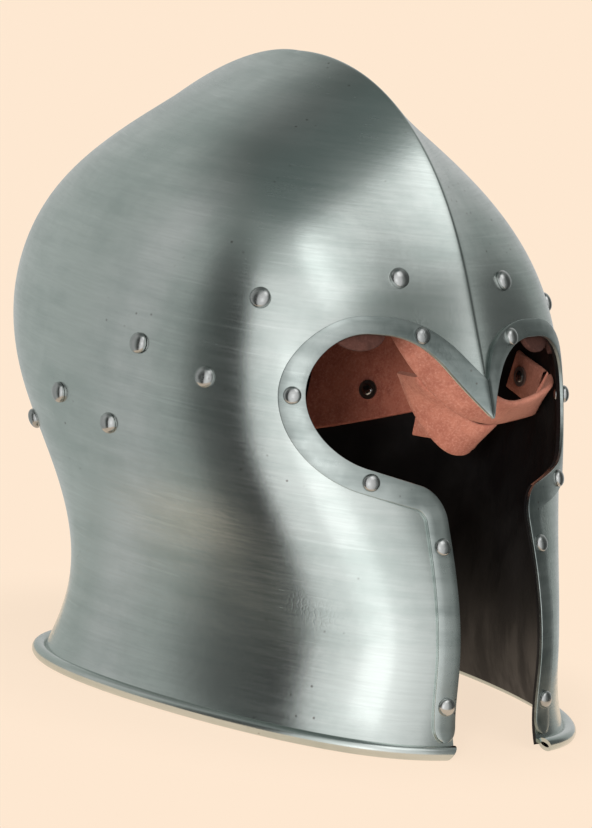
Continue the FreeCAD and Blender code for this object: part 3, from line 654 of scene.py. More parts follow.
@dataclass
class FaceTrim:
    """The strip riveted round one half of the face opening."""

    width: float = 10.4
    brow_width: float = 7.6
    gap: float = 0.06
    thickness: float = 1.4
    bevel: float = 0.38
    bottom: float = 6.8
    end_round: float = 7.0
    end_power: float = 2.3
    crown: float = 0.07
    step: float = 0.9
    rivet_angles: tuple[float, float, float] = (113.5, 1.0, -81.0)
    rivet_heights: tuple[float, float] = (86.0, 21.5)

    def width_at(self, places: Array) -> Array:
        """The strip's width at places of the outline."""
        x, z = places[:, 0], places[:, 1]
        share = smooth((z - OPENING.eye[1]) / OPENING.eye[2]) * smooth(x / OPENING.eye[0])
        return self.width + (self.brow_width - self.width) * share

    def beside(self, places: Array, runs: Array, distances: Array) -> Array:
        """Places a distance into the metal from places of the outline.

        Args:
            places: Places (x, z) of the outline.
            runs: The outline's direction at each.
            distances: How far to go.

        Returns:
            Places (x, z).
        """
        points, normals = PLATE.from_front(places[:, 0], places[:, 1])
        rise = -(normals[:, 0] * runs[:, 0] + normals[:, 2] * runs[:, 1]) / normals[:, 1]
        ahead = np.stack([runs[:, 0], rise, runs[:, 1]], -1)
        aside = np.cross(ahead, normals)
        wrong = aside[:, 2] * runs[:, 0] < aside[:, 0] * runs[:, 1]
        aside = np.where(wrong[:, None], -aside, aside)
        aside /= np.linalg.norm(aside, axis=1, keepdims=True)
        return (points + aside * distances[:, None])[:, (0, 2)]

    def build(self, side: Side, material: bpy.types.Material) -> bpy.types.Object:
        """One strip.

        Args:
            side: Which half.
            material: Its steel.

        Returns:
            The strip.
        """
        places = OPENING.path(0.0, self.bottom, self.step)
        runs = np.gradient(places, axis=0)
        runs /= np.linalg.norm(runs, axis=1, keepdims=True)
        widths = self.width_at(places)
        full = self.beside(places, runs, widths)
        low, high = np.zeros(len(places)), widths.copy()
        over = full[:, 0] < 0.0
        high[over] = (widths * places[:, 0] / np.maximum(places[:, 0] - full[:, 0], TINY))[over]
        high[0] = 0.12
        fall = np.clip((self.bottom + self.end_round - places[:, 1]) / self.end_round, 0.0, 1.0)
        fall[places[:, 1] > 60.0] = 0.0
        keep = (1 - np.minimum(fall, 0.985) ** self.end_power) ** (1 / self.end_power)
        low, high = low + widths * (1 - keep) / 2, high - widths * (1 - keep) / 2
        span = high - low
        edge = np.minimum(self.bevel, span * 0.25)
        top = self.gap + self.thickness
        section: list[tuple[Array, float]] = [
            (low, self.gap),
            (low, top - 0.75 * self.bevel),
            (low + 0.3 * edge, top - 0.25 * self.bevel),
            (low + edge, top),
            (low + span * 0.3, top + 0.05),
            (low + span * 0.5, top + self.crown),
            (low + span * 0.7, top + 0.05),
            (high - edge, top),
            (high - 0.3 * edge, top - 0.25 * self.bevel),
            (high, top - 0.75 * self.bevel),
            (high, self.gap),
            (low + span * 0.5, self.gap),
        ]
        columns = []
        for distances, lift in section:
            flat = self.beside(places, runs, distances)
            points, normals = PLATE.from_front(flat[:, 0], flat[:, 1])
            lifted = points + normals * lift
            lifted[:, 0] = np.maximum(lifted[:, 0], 0.03)
            columns.append(lifted)
        rings = np.stack(columns, 1)
        rings[..., 0] *= side.value
        thing = tube(f"trim_strip_{side.word}", rings)
        dress(thing, material)
        smooth_shading(thing, 30.0)
        return thing

    def seats(self) -> list[Seat]:
        """Points and normals of the plate under the strip's five rivets."""
        eye_x, eye_z, eye_r = OPENING.eye
        brow_x, brow_r = OPENING.brow
        places, runs = [], []
        for angle in self.rivet_angles:
            turn = math.radians(angle)
            on_brow = angle > 90
            x, z, radius = (brow_x, eye_z + eye_r - brow_r, brow_r) if on_brow else OPENING.eye
            places.append((x + radius * math.cos(turn), z + radius * math.sin(turn)))
            runs.append((math.sin(turn), -math.cos(turn)))
        for height in self.rivet_heights:
            places.append((OPENING.slit, height))
            runs.append((0.0, -1.0))
        spots = np.array(places)
        middle = self.beside(spots, np.array(runs), self.width_at(spots) / 2)
        points, normals = PLATE.from_front(middle[:, 0], middle[:, 1])
        return list(zip(points, normals))


# Rivets


@dataclass
class RivetShape:
    """Domed rivet with a peened tail."""

    radius: float
    height: float
    grip: float
    seat: float = 0.1
    shank: float = 1.5
    tail_radius: float = 2.6
    tail_height: float = 1.0

    def cap(self, radius: float, height: float, low: float, down: bool) -> bpy.types.Object:
        """Dome made from a sphere whose lower half is cut off and drawn down to a small edge.

        Args:
            radius: The dome's radius.
            height: Its height with the edge.
            low: Height of its flat face.
            down: Whether it points down.

        Returns:
            The dome.
        """
        deselect()
        bpy.ops.mesh.primitive_uv_sphere_add(segments=28, ring_count=16, radius=radius * MM)
        thing = bpy.context.active_object
        bpy.ops.object.mode_set(mode="EDIT")
        bpy.ops.mesh.select_all(action="SELECT")
        bpy.ops.mesh.bisect(plane_co=(0, 0, 0), plane_no=(0, 0, -1), use_fill=True, clear_outer=True)
        bpy.ops.mesh.select_all(action="SELECT")
        edge = height / 6
        flatness = (height - edge) / radius
        bpy.ops.transform.resize(value=(1.0, 1.0, flatness), center_override=(0.0, 0.0, 0.0))
        bpy.ops.transform.translate(value=(0, 0, edge * MM))
        bpy.ops.object.mode_set(mode="OBJECT")
        shape = bmesh.new()
        shape.from_mesh(thing.data)
        flats = [face for face in shape.faces if face.normal.z < -0.9]
        made = bmesh.ops.extrude_face_region(shape, geom=flats)
        moved = [item for item in made["geom"] if isinstance(item, bmesh.types.BMVert)]
        bmesh.ops.translate(shape, verts=moved, vec=(0, 0, -edge * MM))
        bmesh.ops.delete(shape, geom=flats, context="FACES_ONLY")
        for vertex in shape.verts:
            vertex.co.z = low * MM - vertex.co.z if down else low * MM + vertex.co.z
        bmesh.ops.recalc_face_normals(shape, faces=shape.faces)
        shape.to_mesh(thing.data)
        shape.free()
        return thing

    def build(self, name: str) -> bpy.types.Object:
        """One rivet along Z, its seat at 0."""
        head = self.cap(self.radius, self.height, 0.0, False)
        tail = self.cap(self.tail_radius, self.tail_height, -self.grip, True)
        deselect()
        bpy.ops.mesh.primitive_cylinder_add(
            vertices=20, radius=self.shank * MM, depth=self.grip * MM, location=(0, 0, -self.grip * MM / 2)
        )
        shank = bpy.context.active_object
        deselect()
        shank.select_set(True)
        bpy.ops.object.transform_apply(location=True, rotation=True, scale=True)
        return joined([head, shank, tail], name)

    def set_out(
        self, name: str, seats: Sequence[Seat], material: bpy.types.Material
    ) -> bpy.types.Object:
        """Copies of the rivet on seats, as one piece.

        Args:
            name: The piece's name.
            seats: Points and normals of the seats.
            material: The rivets' steel.

        Returns:
            All the rivets.
        """
        master = self.build(name)
        copies = []
        for number, (point, normal) in enumerate(seats):
            copy = master.copy()
            copy.data = master.data.copy()
            bpy.context.scene.collection.objects.link(copy)
            turn = Vector((0, 0, 1)).rotation_difference(Vector(normal)).to_matrix().to_4x4()
            spin = Matrix.Rotation(RIVET_SPIN * number, 4, "Z")
            lean = Matrix.Rotation(math.radians(RIVET_LEAN) * math.sin(RIVET_UNEVEN * number), 4, "X")
            spot = Matrix.Translation(Vector(point + normal * self.seat) * MM)
            copy.data.transform(spot @ turn @ lean @ spin)
            copies.append(copy)
        bpy.data.objects.remove(master)
        thing = joined(copies, name)
        dress(thing, material)
        smooth_shading(thing, 50.0)
        return thing


def mirrored_seats(seats: Sequence[Seat]) -> list[Seat]:
    """The same seats on the right half."""
    return [(point * FLIP, normal * FLIP) for point, normal in seats]


# Leathers


@dataclass
class LeatherSheet:
    """A leather that follows the plate's inside at a small gap."""

    gap: float = 1.9
    thickness: float = 2.4
    edge: float = 0.5

    def build(
        self, name: str, points: Array, normals: Array, material: bpy.types.Material
    ) -> bpy.types.Object:
        """A leather from a grid of the plate's points.

        Args:
            name: The piece's name.
            points: Grid of points on the plate's outside.
            normals: The normals there.
            material: The leather.

        Returns:
            The leather.
        """
        rows, columns = points.shape[:2]
        outer = points - normals * self.gap
        faces = []
        for row in range(rows - 1):
            for column in range(columns - 1):
                corner = row * columns + column
                faces.append((corner, corner + 1, corner + columns + 1, corner + columns))
        thing = make_object(name, outer.reshape(-1, 3), faces)
        shape = bmesh.new()
        shape.from_mesh(thing.data)
        shape.faces.ensure_lookup_table()
        inward = Vector((0.0, 0.01, 0.13))
        face = shape.faces[len(shape.faces) // 2]
        if face.normal.dot(inward - face.calc_center_median()) > 0:
            bmesh.ops.reverse_faces(shape, faces=shape.faces)
        shape.to_mesh(thing.data)
        shape.free()
        wall = thing.modifiers.new("wall", "SOLIDIFY")
        wall.thickness, wall.offset, wall.use_even_offset = self.thickness * MM, -1.0, False
        apply_modifier(thing, "wall")
        edge = thing.modifiers.new("edge", "BEVEL")
        edge.width, edge.segments, edge.angle_limit = self.edge * MM, 3, math.radians(50)
        apply_modifier(thing, "edge")
        dress(thing, material)
        smooth_shading(thing, 60.0)
        return thing


@dataclass
class Liner:
    """The four liner leathers."""

    side_corner: tuple[float, float] = (80.5, 91.6)
    side_slope: float = 21.5
    side_length: float = 100.0
    side_height: float = 46.0
    side_lean: float = 0.3
    brow_bottom: float = 171.5
    brow_top: float = 208.0
    lobe: tuple[float, float, float] = (55.0, 13.0, 162.5)
    brow_back: float = -17.0
    end_drop: float = 12.0
    end_run: float = 8.0
    back_bottom: float = 73.0
    back_top: float = 114.0
    back_front: float = 88.0
    sheet: LeatherSheet = field(default_factory=LeatherSheet)

    def side(self, side: Side, material: bpy.types.Material) -> bpy.types.Object:
        """The band along one side."""
        slope = math.radians(self.side_slope)
        along, rise = np.meshgrid(np.linspace(0, 1, 60), np.linspace(0, 1, 30))
        y = self.side_corner[0] - math.cos(slope) * self.side_length * along
        z = self.side_corner[1] + math.sin(slope) * self.side_length * along
        y = y + math.sin(slope) * self.side_lean * self.side_height * rise
        z = z + math.cos(slope) * self.side_height * rise
        points, normals = PLATE.from_side(y.ravel(), z.ravel())
        flip = np.array([side.value, 1.0, 1.0])
        shape = (*y.shape, 3)
        name = f"liner_band_{side.word}"
        points, normals = (points * flip).reshape(shape), (normals * flip).reshape(shape)
        return self.sheet.build(name, points, normals, material)

    def turns_at(self, angles: Array, heights: Array) -> tuple[Array, Array]:
        """Points and normals at turns and heights on the left half."""
        low, high = np.zeros_like(heights), np.full_like(heights, 0.98)
        for _ in range(30):
            middle = (low + high) / 2
            above = PLATE.point(angles, middle)[..., 2] > heights
            high, low = np.where(above, middle, high), np.where(above, low, middle)
        return PLATE.point(angles, low), PLATE.normal(angles, low)

    def level(
        self, name: str, angles: Array, low: Array, high: Array, material: bpy.types.Material
    ) -> bpy.types.Object:
        """A band that crosses the middle.

        Args:
            name: The piece's name.
            angles: Turns from the middle outwards.
            low: Height of its lower edge at each turn.
            high: Height of its upper edge at each turn.
            material: The leather.

        Returns:
            The band.
        """
        share = np.linspace(0, 1, 26)[:, None]
        heights = low[None, :] + (high - low)[None, :] * share
        spread = np.broadcast_to(angles[None, :], heights.shape)
        points, normals = self.turns_at(spread, heights)
        points = np.concatenate([(points * FLIP)[:, :0:-1], points], 1)
        normals = np.concatenate([(normals * FLIP)[:, :0:-1], normals], 1)
        return self.sheet.build(name, points, normals, material)

    def brow(self, material: bpy.types.Material) -> bpy.types.Object:
        """The band behind the brow, with a rounded lobe over each eye's outer end."""
        ends = np.linspace(0.01, 1.5, 400)
        y = PLATE.point(ends, 0.58)[:, 1]
        last = ends[np.argmax(y > self.brow_back)]
        angles = np.linspace(0.0, 1.0, 90) * last
        x = PLATE.point(angles, 0.55)[:, 0]
        middle, reach, low = self.lobe
        dip = np.clip(1 - ((x - middle) / reach) ** 2, 0.0, 1.0) ** 0.5
        bottoms = self.brow_bottom - (self.brow_bottom - low) * dip
        beyond = x - middle - reach
        ends_low = self.brow_bottom - self.end_drop * smooth(beyond / self.end_run)
        bottoms = np.where(beyond > 0, ends_low, bottoms)
        return self.level("liner_band_brow", angles, bottoms, np.full_like(bottoms, self.brow_top), material)

    def back(self, material: bpy.types.Material) -> bpy.types.Object:
        """The band across the back."""
        ends = np.linspace(math.pi, 1.6, 400)
        y = PLATE.point(ends, 0.36)[:, 1]
        last = ends[np.argmax(y < self.back_front)]
        angles = math.pi + (last - math.pi) * np.linspace(0.0, 1.0, 60)
        low = np.full(60, self.back_bottom)
        return self.level("liner_band_back", angles, low, np.full(60, self.back_top), material)


@dataclass
class Strap:
    """A leather strap through stations of (centre, width direction)."""

    width: float = 19.0
    thickness: float = 2.4
    edge: float = 0.7
    step: float = 1.6

    def resampled(self, rows: Array, step: float) -> Array:
        """Smooth rows through rows, evenly spaced.

        Args:
            rows: Values, one row per station; the first three columns are the centre.
            step: Distance between the new rows.

        Returns:
            The new rows.
        """
        gaps = np.linalg.norm(np.diff(rows[:, :3], axis=0), axis=1)
        places = np.concatenate([[0.0], np.cumsum(gaps)])
        count = max(4, round(places[-1] / step))
        at = np.linspace(0.0, places[-1], count)
        return np.stack([StationSpline(places, column)(at) for column in rows.T], -1)

    def build(
        self,
        name: str,
        stations: Sequence[tuple[Sequence[float], Sequence[float]]],
        material: bpy.types.Material,
    ) -> bpy.types.Object:
        """The strap as a closed ribbon with rounded edges.

        Args:
            name: The piece's name.
            stations: Centres and width directions.
            material: The leather.

        Returns:
            The strap.
        """
        rows = np.array([list(centre) + list(side) for centre, side in stations], float)
        rows[:, 3:] /= np.linalg.norm(rows[:, 3:], axis=1, keepdims=True)
        rows = self.resampled(rows, self.step)
        centres, sides = rows[:, :3], rows[:, 3:]
        ahead = np.gradient(centres, axis=0)
        ahead /= np.linalg.norm(ahead, axis=1, keepdims=True)
        sides -= ahead * (sides * ahead).sum(1, keepdims=True)
        sides /= np.linalg.norm(sides, axis=1, keepdims=True)
        out = np.cross(ahead, sides)
        half, thick, edge = self.width / 2, self.thickness / 2, self.edge
        section = [(half, -thick + edge), (half, thick - edge), (half - edge, thick)]
        section += [(half * share, thick) for share in (0.6, 0.2, -0.2, -0.6)]
        section += [(-half + edge, thick), (-half, thick - edge)]
        section += [(-half, -thick + edge), (-half + edge, -thick)]
        section += [(half * share, -thick) for share in (-0.6, -0.2, 0.2, 0.6)]
        section += [(half - edge, -thick)]
        rings = []
        for centre, side, face in zip(centres, sides, out):
            rings.append([centre + side * across + face * lift for across, lift in section])
        thing = tube(name, rings)
        dress(thing, material)
        smooth_shading(thing, 50.0)
        return thing


@dataclass
class ChinStraps:
    """The wearer's left chin straps, which hang loose behind the face opening."""

    rivets: tuple[tuple[float, float], ...] = ((-37.1, 142.1), (14.8, 111.8))
    insets: tuple[float, float] = (0.9, 3.3)
    plate: float = 1.6
    end: float = 9.0
    strap: Strap = field(default_factory=Strap)

    def root(self, number: int, heading: Sequence[float]) -> list[Seat]:
        """Stations of a strap's riveted end.

        Args:
            number: Which strap.
            heading: The way that it leaves its rivet.

        Returns:
            Two stations.
        """
        y, z = self.rivets[number]
        points, normals = PLATE.from_side(np.array([y]), np.array([z]))
        point, normal, ahead = points[0], normals[0], np.array(heading, float)
        ahead -= normal * ahead.dot(normal)
        ahead /= np.linalg.norm(ahead)
        centre = point - normal * (self.plate + self.insets[number] + self.strap.thickness / 2)
        side = np.cross(normal, ahead)
        return [(centre - ahead * self.end, side), (centre + ahead * (self.end - 2.0), side)]

    def front(self, material: bpy.types.Material) -> bpy.types.Object:
        """The long strap that crosses behind the nasal and goes up behind the right brow."""
        stations = self.root(0, (0.0, -1.0, -0.2)) + [
            ((80.3, -63.0, 137.2), (-0.52, -0.66, 0.54)),
            ((63.3, -66.6, 133.6), (-0.61, -0.64, 0.47)),
            ((48.4, -67.4, 132.5), (-0.40, -0.68, 0.61)),
            ((35.7, -65.2, 136.1), (0.00, -0.67, 0.74)),
            ((24.6, -61.0, 143.3), (0.18, -0.64, 0.74)),
            ((15.4, -55.4, 152.3), (0.21, -0.68, 0.70)),
            ((8.8, -49.5, 162.1), (0.25, -0.75, 0.62)),
            ((4.0, -43.3, 172.8), (0.26, -0.82, 0.51)),
        ]
        return self.strap.build("chin_strap_long", stations, material)

    def rear(self, material: bpy.types.Material) -> bpy.types.Object:
        """The strap that folds back on itself under the long one."""
        stations = self.root(1, (0.0, -1.0, 0.1)) + [
            ((79.9, -22.9, 119.4), (-0.04, -0.36, 0.93)),
            ((71.0, -36.7, 120.5), (-0.01, -0.41, 0.91)),
            ((62.5, -48.3, 120.3), (0.14, -0.43, 0.89)),
            ((55.2, -54.2, 118.5), (0.35, -0.51, 0.79)),
            ((46.1, -53.8, 117.6), (0.41, -0.58, 0.70)),
            ((36.6, -50.1, 123.2), (0.36, -0.70, 0.62)),
            ((28.5, -45.9, 130.9), (0.09, -0.87, 0.49)),
            ((21.6, -43.3, 137.5), (-0.31, -0.90, 0.31)),
            ((16.8, -41.2, 144.1), (-0.43, -0.86, 0.27)),
        ]
        return self.strap.build("chin_strap_folded", stations, material)


# Materials


@dataclass(frozen=True)
class SteelFinish:
    """Numbers of one steel finish."""

    light: Color
    dark: Color
    rough: tuple[float, float]
    brushing: float
    dents: float
    mottle: float
    rust: float
    grain: tuple[float, float, float]
    speck: Color = (0.09, 0.06, 0.05)


@dataclass(frozen=True)
class LeatherFinish:
    """Numbers of one leather finish."""

    light: Color
    dark: Color
    edge: Color
    rough: float
    nap: float


class Nodes:
    """Small helper that adds and links shader nodes."""

    def __init__(self, tree: bpy.types.NodeTree) -> None:
        """Keeps the tree.

        Args:
            tree: The node tree to add to.
        """
        self.tree = tree

    def add(self, kind: str, **settings: object) -> bpy.types.Node:
        """Adds a node and sets its properties and inputs.

        Args:
            kind: The node's type.
            settings: Properties, or inputs by name with spaces as underscores.

        Returns:
            The node.
        """
        node = self.tree.nodes.new(kind)
        for name, value in settings.items():
            if hasattr(node, name):
                setattr(node, name, value)
                continue
            numbered = name.startswith("in_")
            socket = node.inputs[int(name[3:]) if numbered else name.replace("_", " ")]
            if isinstance(value, Socket):
                self.tree.links.new(value, socket)
            else:
                socket.default_value = value
        return node

    def noise(self, vector: Socket, scale: float, detail: float = 4.0, rough: float = 0.55) -> Socket:
        """Noise value at a vector."""
        node = self.add("ShaderNodeTexNoise", Scale=scale, Detail=detail, Roughness=rough)
        self.tree.links.new(vector, node.inputs["Vector"])
        return node.outputs["Fac"]

    def stretch(self, vector: Socket, scale: tuple[float, float, float]) -> Socket:
        """A scaled vector."""
        node = self.add("ShaderNodeMapping", Scale=scale)
        self.tree.links.new(vector, node.inputs["Vector"])
        return node.outputs["Vector"]

    def remap(
        self, value: Socket, low: float, high: float, to_low: float = 0.0, to_high: float = 1.0
    ) -> Socket:
        """A value from one range to another, eased and clamped."""
        node = self.add(
            "ShaderNodeMapRange",
            interpolation_type="SMOOTHSTEP",
            From_Min=low,
            From_Max=high,
            To_Min=to_low,
            To_Max=to_high,
            Value=value,
        )
        return node.outputs["Result"]

    def math(self, kind: str, first: object, second: object = 0.0) -> Socket:
        """One sum of two values."""
        node = self.add("ShaderNodeMath", operation=kind, in_0=first, in_1=second)
        return node.outputs[0]

    def blend(self, first: Socket, share: float, second: Socket) -> Socket:
        """Sum of two values: a share of the first and the rest of the second."""
        rest = round(1.0 - share, 6)
        return self.math("ADD", self.math("MULTIPLY", first, share), self.math("MULTIPLY", second, rest))

    def mix(self, share: object, first: object, second: object) -> Socket:
        """Mix of two colours."""
        node = self.tree.nodes.new("ShaderNodeMix")
        node.data_type = "RGBA"
        for socket, value in ((node.inputs[0], share), (node.inputs[6], first), (node.inputs[7], second)):
            if isinstance(value, Socket):
                self.tree.links.new(value, socket)
            elif isinstance(value, tuple):
                socket.default_value = (*value, 1.0)
            else:
                socket.default_value = value
        return node.outputs[2]

    def bump(
        self, height: Socket, strength: float, distance: float, before: Optional[Socket] = None
    ) -> Socket:
        """Normal bent by a height."""
        node = self.add("ShaderNodeBump", Strength=strength, Distance=distance)
        self.tree.links.new(height, node.inputs["Height"])
        if before is not None:
            self.tree.links.new(before, node.inputs["Normal"])
        return node.outputs["Normal"]


def new_material(name: str) -> tuple[bpy.types.Material, Nodes, bpy.types.Node]:
    """Empty material with its Principled node.

    Args:
        name: The material's name.

    Returns:
        The material, its node helper and its shader.
    """
    material = bpy.data.materials.new(name)
    material.use_nodes = True
    return material, Nodes(material.node_tree), material.node_tree.nodes["Principled BSDF"]


def steel(name: str, finish: SteelFinish) -> bpy.types.Material:
    """Hand-finished steel: brushing, soft hammer dents, mottle, fine scratches and specks.

    Args:
        name: The material's name.
        finish: Its numbers.

    Returns:
        The material.
    """
    material, nodes, shader = new_material(name)
    link = material.node_tree.links.new
    place = nodes.add("ShaderNodeTexCoord").outputs["Object"]
    wander = nodes.noise(place, 9.0, 2.0)
    brushing = nodes.noise(nodes.stretch(place, finish.grain), 2.4, 6.0, 0.7)
    wide = nodes.noise(nodes.stretch(place, (6.0, 6.0, 60.0)), 2.0, 4.0, 0.6)
    cloud = nodes.noise(place, 14.0, 5.0, 0.62)
    fine = nodes.noise(place, 260.0, 3.0, 0.6)
    dents = nodes.noise(place, 26.0, 1.0, 0.4)
    tone = nodes.remap(nodes.blend(cloud, 0.65, wide), 0.38, 0.62)
    color = nodes.mix(nodes.math("MULTIPLY", tone, finish.mottle), finish.light, finish.dark)
    streak = nodes.remap(brushing, 0.35, 0.7, 0.0, finish.brushing)
    color = nodes.mix(streak, color, tuple(value * 0.72 for value in finish.light))
    pits = nodes.add("ShaderNodeTexVoronoi", feature="F1", Scale=210.0, in_0=place)
    speck = nodes.remap(pits.outputs["Distance"], 0.16, 0.05)
    patch = nodes.remap(nodes.noise(place, 31.0, 3.0), 0.56, 0.66)
    spots = nodes.math("MULTIPLY", speck, patch)
    color = nodes.mix(nodes.math("MULTIPLY", spots, 0.45 + 0.4 * finish.rust), color, finish.speck)
    scratch = nodes.remap(nodes.noise(nodes.stretch(place, (5.0, 9.0, 260.0)), 3.1, 2.0, 0.3), 0.66, 0.70)
    scratch = nodes.math("MULTIPLY", scratch, nodes.remap(nodes.noise(place, 17.0, 2.0), 0.48, 0.62))
    bright = tuple(value * 1.25 for value in finish.light)
    color = nodes.mix(nodes.math("MULTIPLY", scratch, 0.2), color, bright)
    cells = nodes.add("ShaderNodeTexVoronoi", feature="DISTANCE_TO_EDGE", Scale=420.0, in_0=place)
    cracks = cells.outputs["Distance"]
    worn = nodes.remap(nodes.noise(place, 12.0, 3.0, 0.5), 0.57, 0.68)
    crackle = nodes.math("MULTIPLY", nodes.remap(cracks, 0.16, 0.02), worn)
    color = nodes.mix(nodes.math("MULTIPLY", crackle, 0.22 * finish.mottle), color, finish.dark)
    link(color, shader.inputs["Base Color"])
    shader.inputs["Metallic"].default_value = 1.0
    low, high = finish.rough
    rough = nodes.remap(nodes.blend(cloud, 0.55, brushing), 0.32, 0.68, low, high)
    link(rough, shader.inputs["Roughness"])
    normal = nodes.bump(nodes.math("ADD", dents, nodes.math("MULTIPLY", wander, 1.6)), finish.dents, 0.0012)
    normal = nodes.bump(brushing, 0.16 * (0.4 + finish.brushing), 0.0002, normal)
    hollows = nodes.math("ADD", spots, nodes.math("MULTIPLY", crackle, 1.5))
    normal = nodes.bump(nodes.math("SUBTRACT", fine, hollows), 0.12, 0.0002, normal)
    link(normal, shader.inputs["Normal"])
    return material


def black_paint(name: str) -> bpy.types.Material:
    """Brushed-on black paint with worn lighter marks."""
    material, nodes, shader = new_material(name)
    link = material.node_tree.links.new
    place = nodes.add("ShaderNodeTexCoord").outputs["Object"]
    cloud = nodes.noise(place, 22.0, 5.0, 0.65)
    streak = nodes.noise(nodes.stretch(place, (30.0, 30.0, 6.0)), 3.0, 5.0)
    deep, worn = (0.0035, 0.0033, 0.0035), (0.009, 0.0085, 0.0085)
    color = nodes.mix(nodes.remap(cloud, 0.45, 0.7), deep, worn)
    link(color, shader.inputs["Base Color"])
    link(nodes.remap(streak, 0.35, 0.65, 0.42, 0.62), shader.inputs["Roughness"])
    shader.inputs["Specular IOR Level"].default_value = 0.3
    link(nodes.bump(nodes.math("ADD", streak, cloud), 0.25, 0.0006), shader.inputs["Normal"])
    return material


def leather(name: str, finish: LeatherFinish) -> bpy.types.Material:
    """Suede split leather with nap, blotches and paler rubbed places.

    Args:
        name: The material's name.
        finish: Its numbers.

    Returns:
        The material.
    """
    material, nodes, shader = new_material(name)
    link = material.node_tree.links.new
    place = nodes.add("ShaderNodeTexCoord").outputs["Object"]
    blotch = nodes.noise(place, 34.0, 5.0, 0.6)
    nap = nodes.noise(place, 900.0, 3.0, 0.7)
    grain = nodes.noise(place, 240.0, 4.0, 0.65)
    tone = nodes.remap(nodes.blend(blotch, 0.6, grain), 0.36, 0.64)
    color = nodes.mix(tone, finish.dark, finish.light)
    color = nodes.mix(nodes.remap(nap, 0.4, 0.75, 0.0, 0.5), color, finish.edge)
    link(color, shader.inputs["Base Color"])
    shader.inputs["Roughness"].default_value = finish.rough
    shader.inputs["Specular IOR Level"].default_value = 0.2
    shader.inputs["Sheen Weight"].default_value = finish.nap
    shader.inputs["Sheen Roughness"].default_value = 0.5
    shader.inputs["Sheen Tint"].default_value = (*finish.edge, 1.0)
    normal = nodes.bump(grain, 0.35, 0.0005)
    link(nodes.bump(nap, 0.3, 0.0002, normal), shader.inputs["Normal"])
    return material


@dataclass(frozen=True)
class Finishes:
    """The finish of every slot."""

    plate: SteelFinish = SteelFinish(
        light=(0.60, 0.645, 0.62),
        dark=(0.44, 0.50, 0.475),
        rough=(0.17, 0.28),
        brushing=0.20,
        dents=0.13,
        mottle=0.85,
        rust=0.6,
        grain=(18.0, 18.0, 420.0),
    )
    trim: SteelFinish = SteelFinish(
        light=(0.50, 0.55, 0.53),
        dark=(0.22, 0.26, 0.25),
        rough=(0.24, 0.42),
        brushing=0.25,
        dents=0.22,
        mottle=1.0,
        rust=0.6,
        grain=(60.0, 60.0, 60.0),
    )
    rivet: SteelFinish = SteelFinish(
        light=(0.50, 0.51, 0.50),
        dark=(0.26, 0.27, 0.27),
        rough=(0.16, 0.3),
        brushing=0.2,
        dents=0.12,
        mottle=0.6,
        rust=0.2,
        grain=(90.0, 90.0, 90.0),
    )
    washer: SteelFinish = SteelFinish(
        light=(0.42, 0.42, 0.41),
        dark=(0.25, 0.25, 0.25),
        rough=(0.3, 0.45),
        brushing=0.3,
        dents=0.1,
        mottle=0.7,
        rust=0.3,
        grain=(90.0, 90.0, 90.0),
    )
    buckle: SteelFinish = SteelFinish(
        light=(0.62, 0.62, 0.6),
        dark=(0.42, 0.42, 0.41),
        rough=(0.18, 0.3),
        brushing=0.2,
        dents=0.08,
        mottle=0.6,
        rust=0.2,
        grain=(90.0, 90.0, 90.0),
    )
    liner: LeatherFinish = LeatherFinish(
        light=(0.36, 0.115, 0.075),
        dark=(0.21, 0.058, 0.04),
        edge=(0.48, 0.2, 0.14),
        rough=0.85,
        nap=0.25,
    )
    # Painted shade: a darker copy of the liner leather for the brow band, standing in for the shadow under
    # the brow and in the gap behind it
    brow: LeatherFinish = LeatherFinish(
        light=(0.075, 0.03, 0.022),
        dark=(0.04, 0.017, 0.013),
        edge=(0.11, 0.05, 0.04),
        rough=0.85,
        nap=0.1,
    )
    strap: LeatherFinish = LeatherFinish(
        light=(0.52, 0.20, 0.135),
        dark=(0.36, 0.12, 0.08),
        edge=(0.66, 0.33, 0.24),
        rough=0.8,
        nap=0.35,
    )


# Camera and light


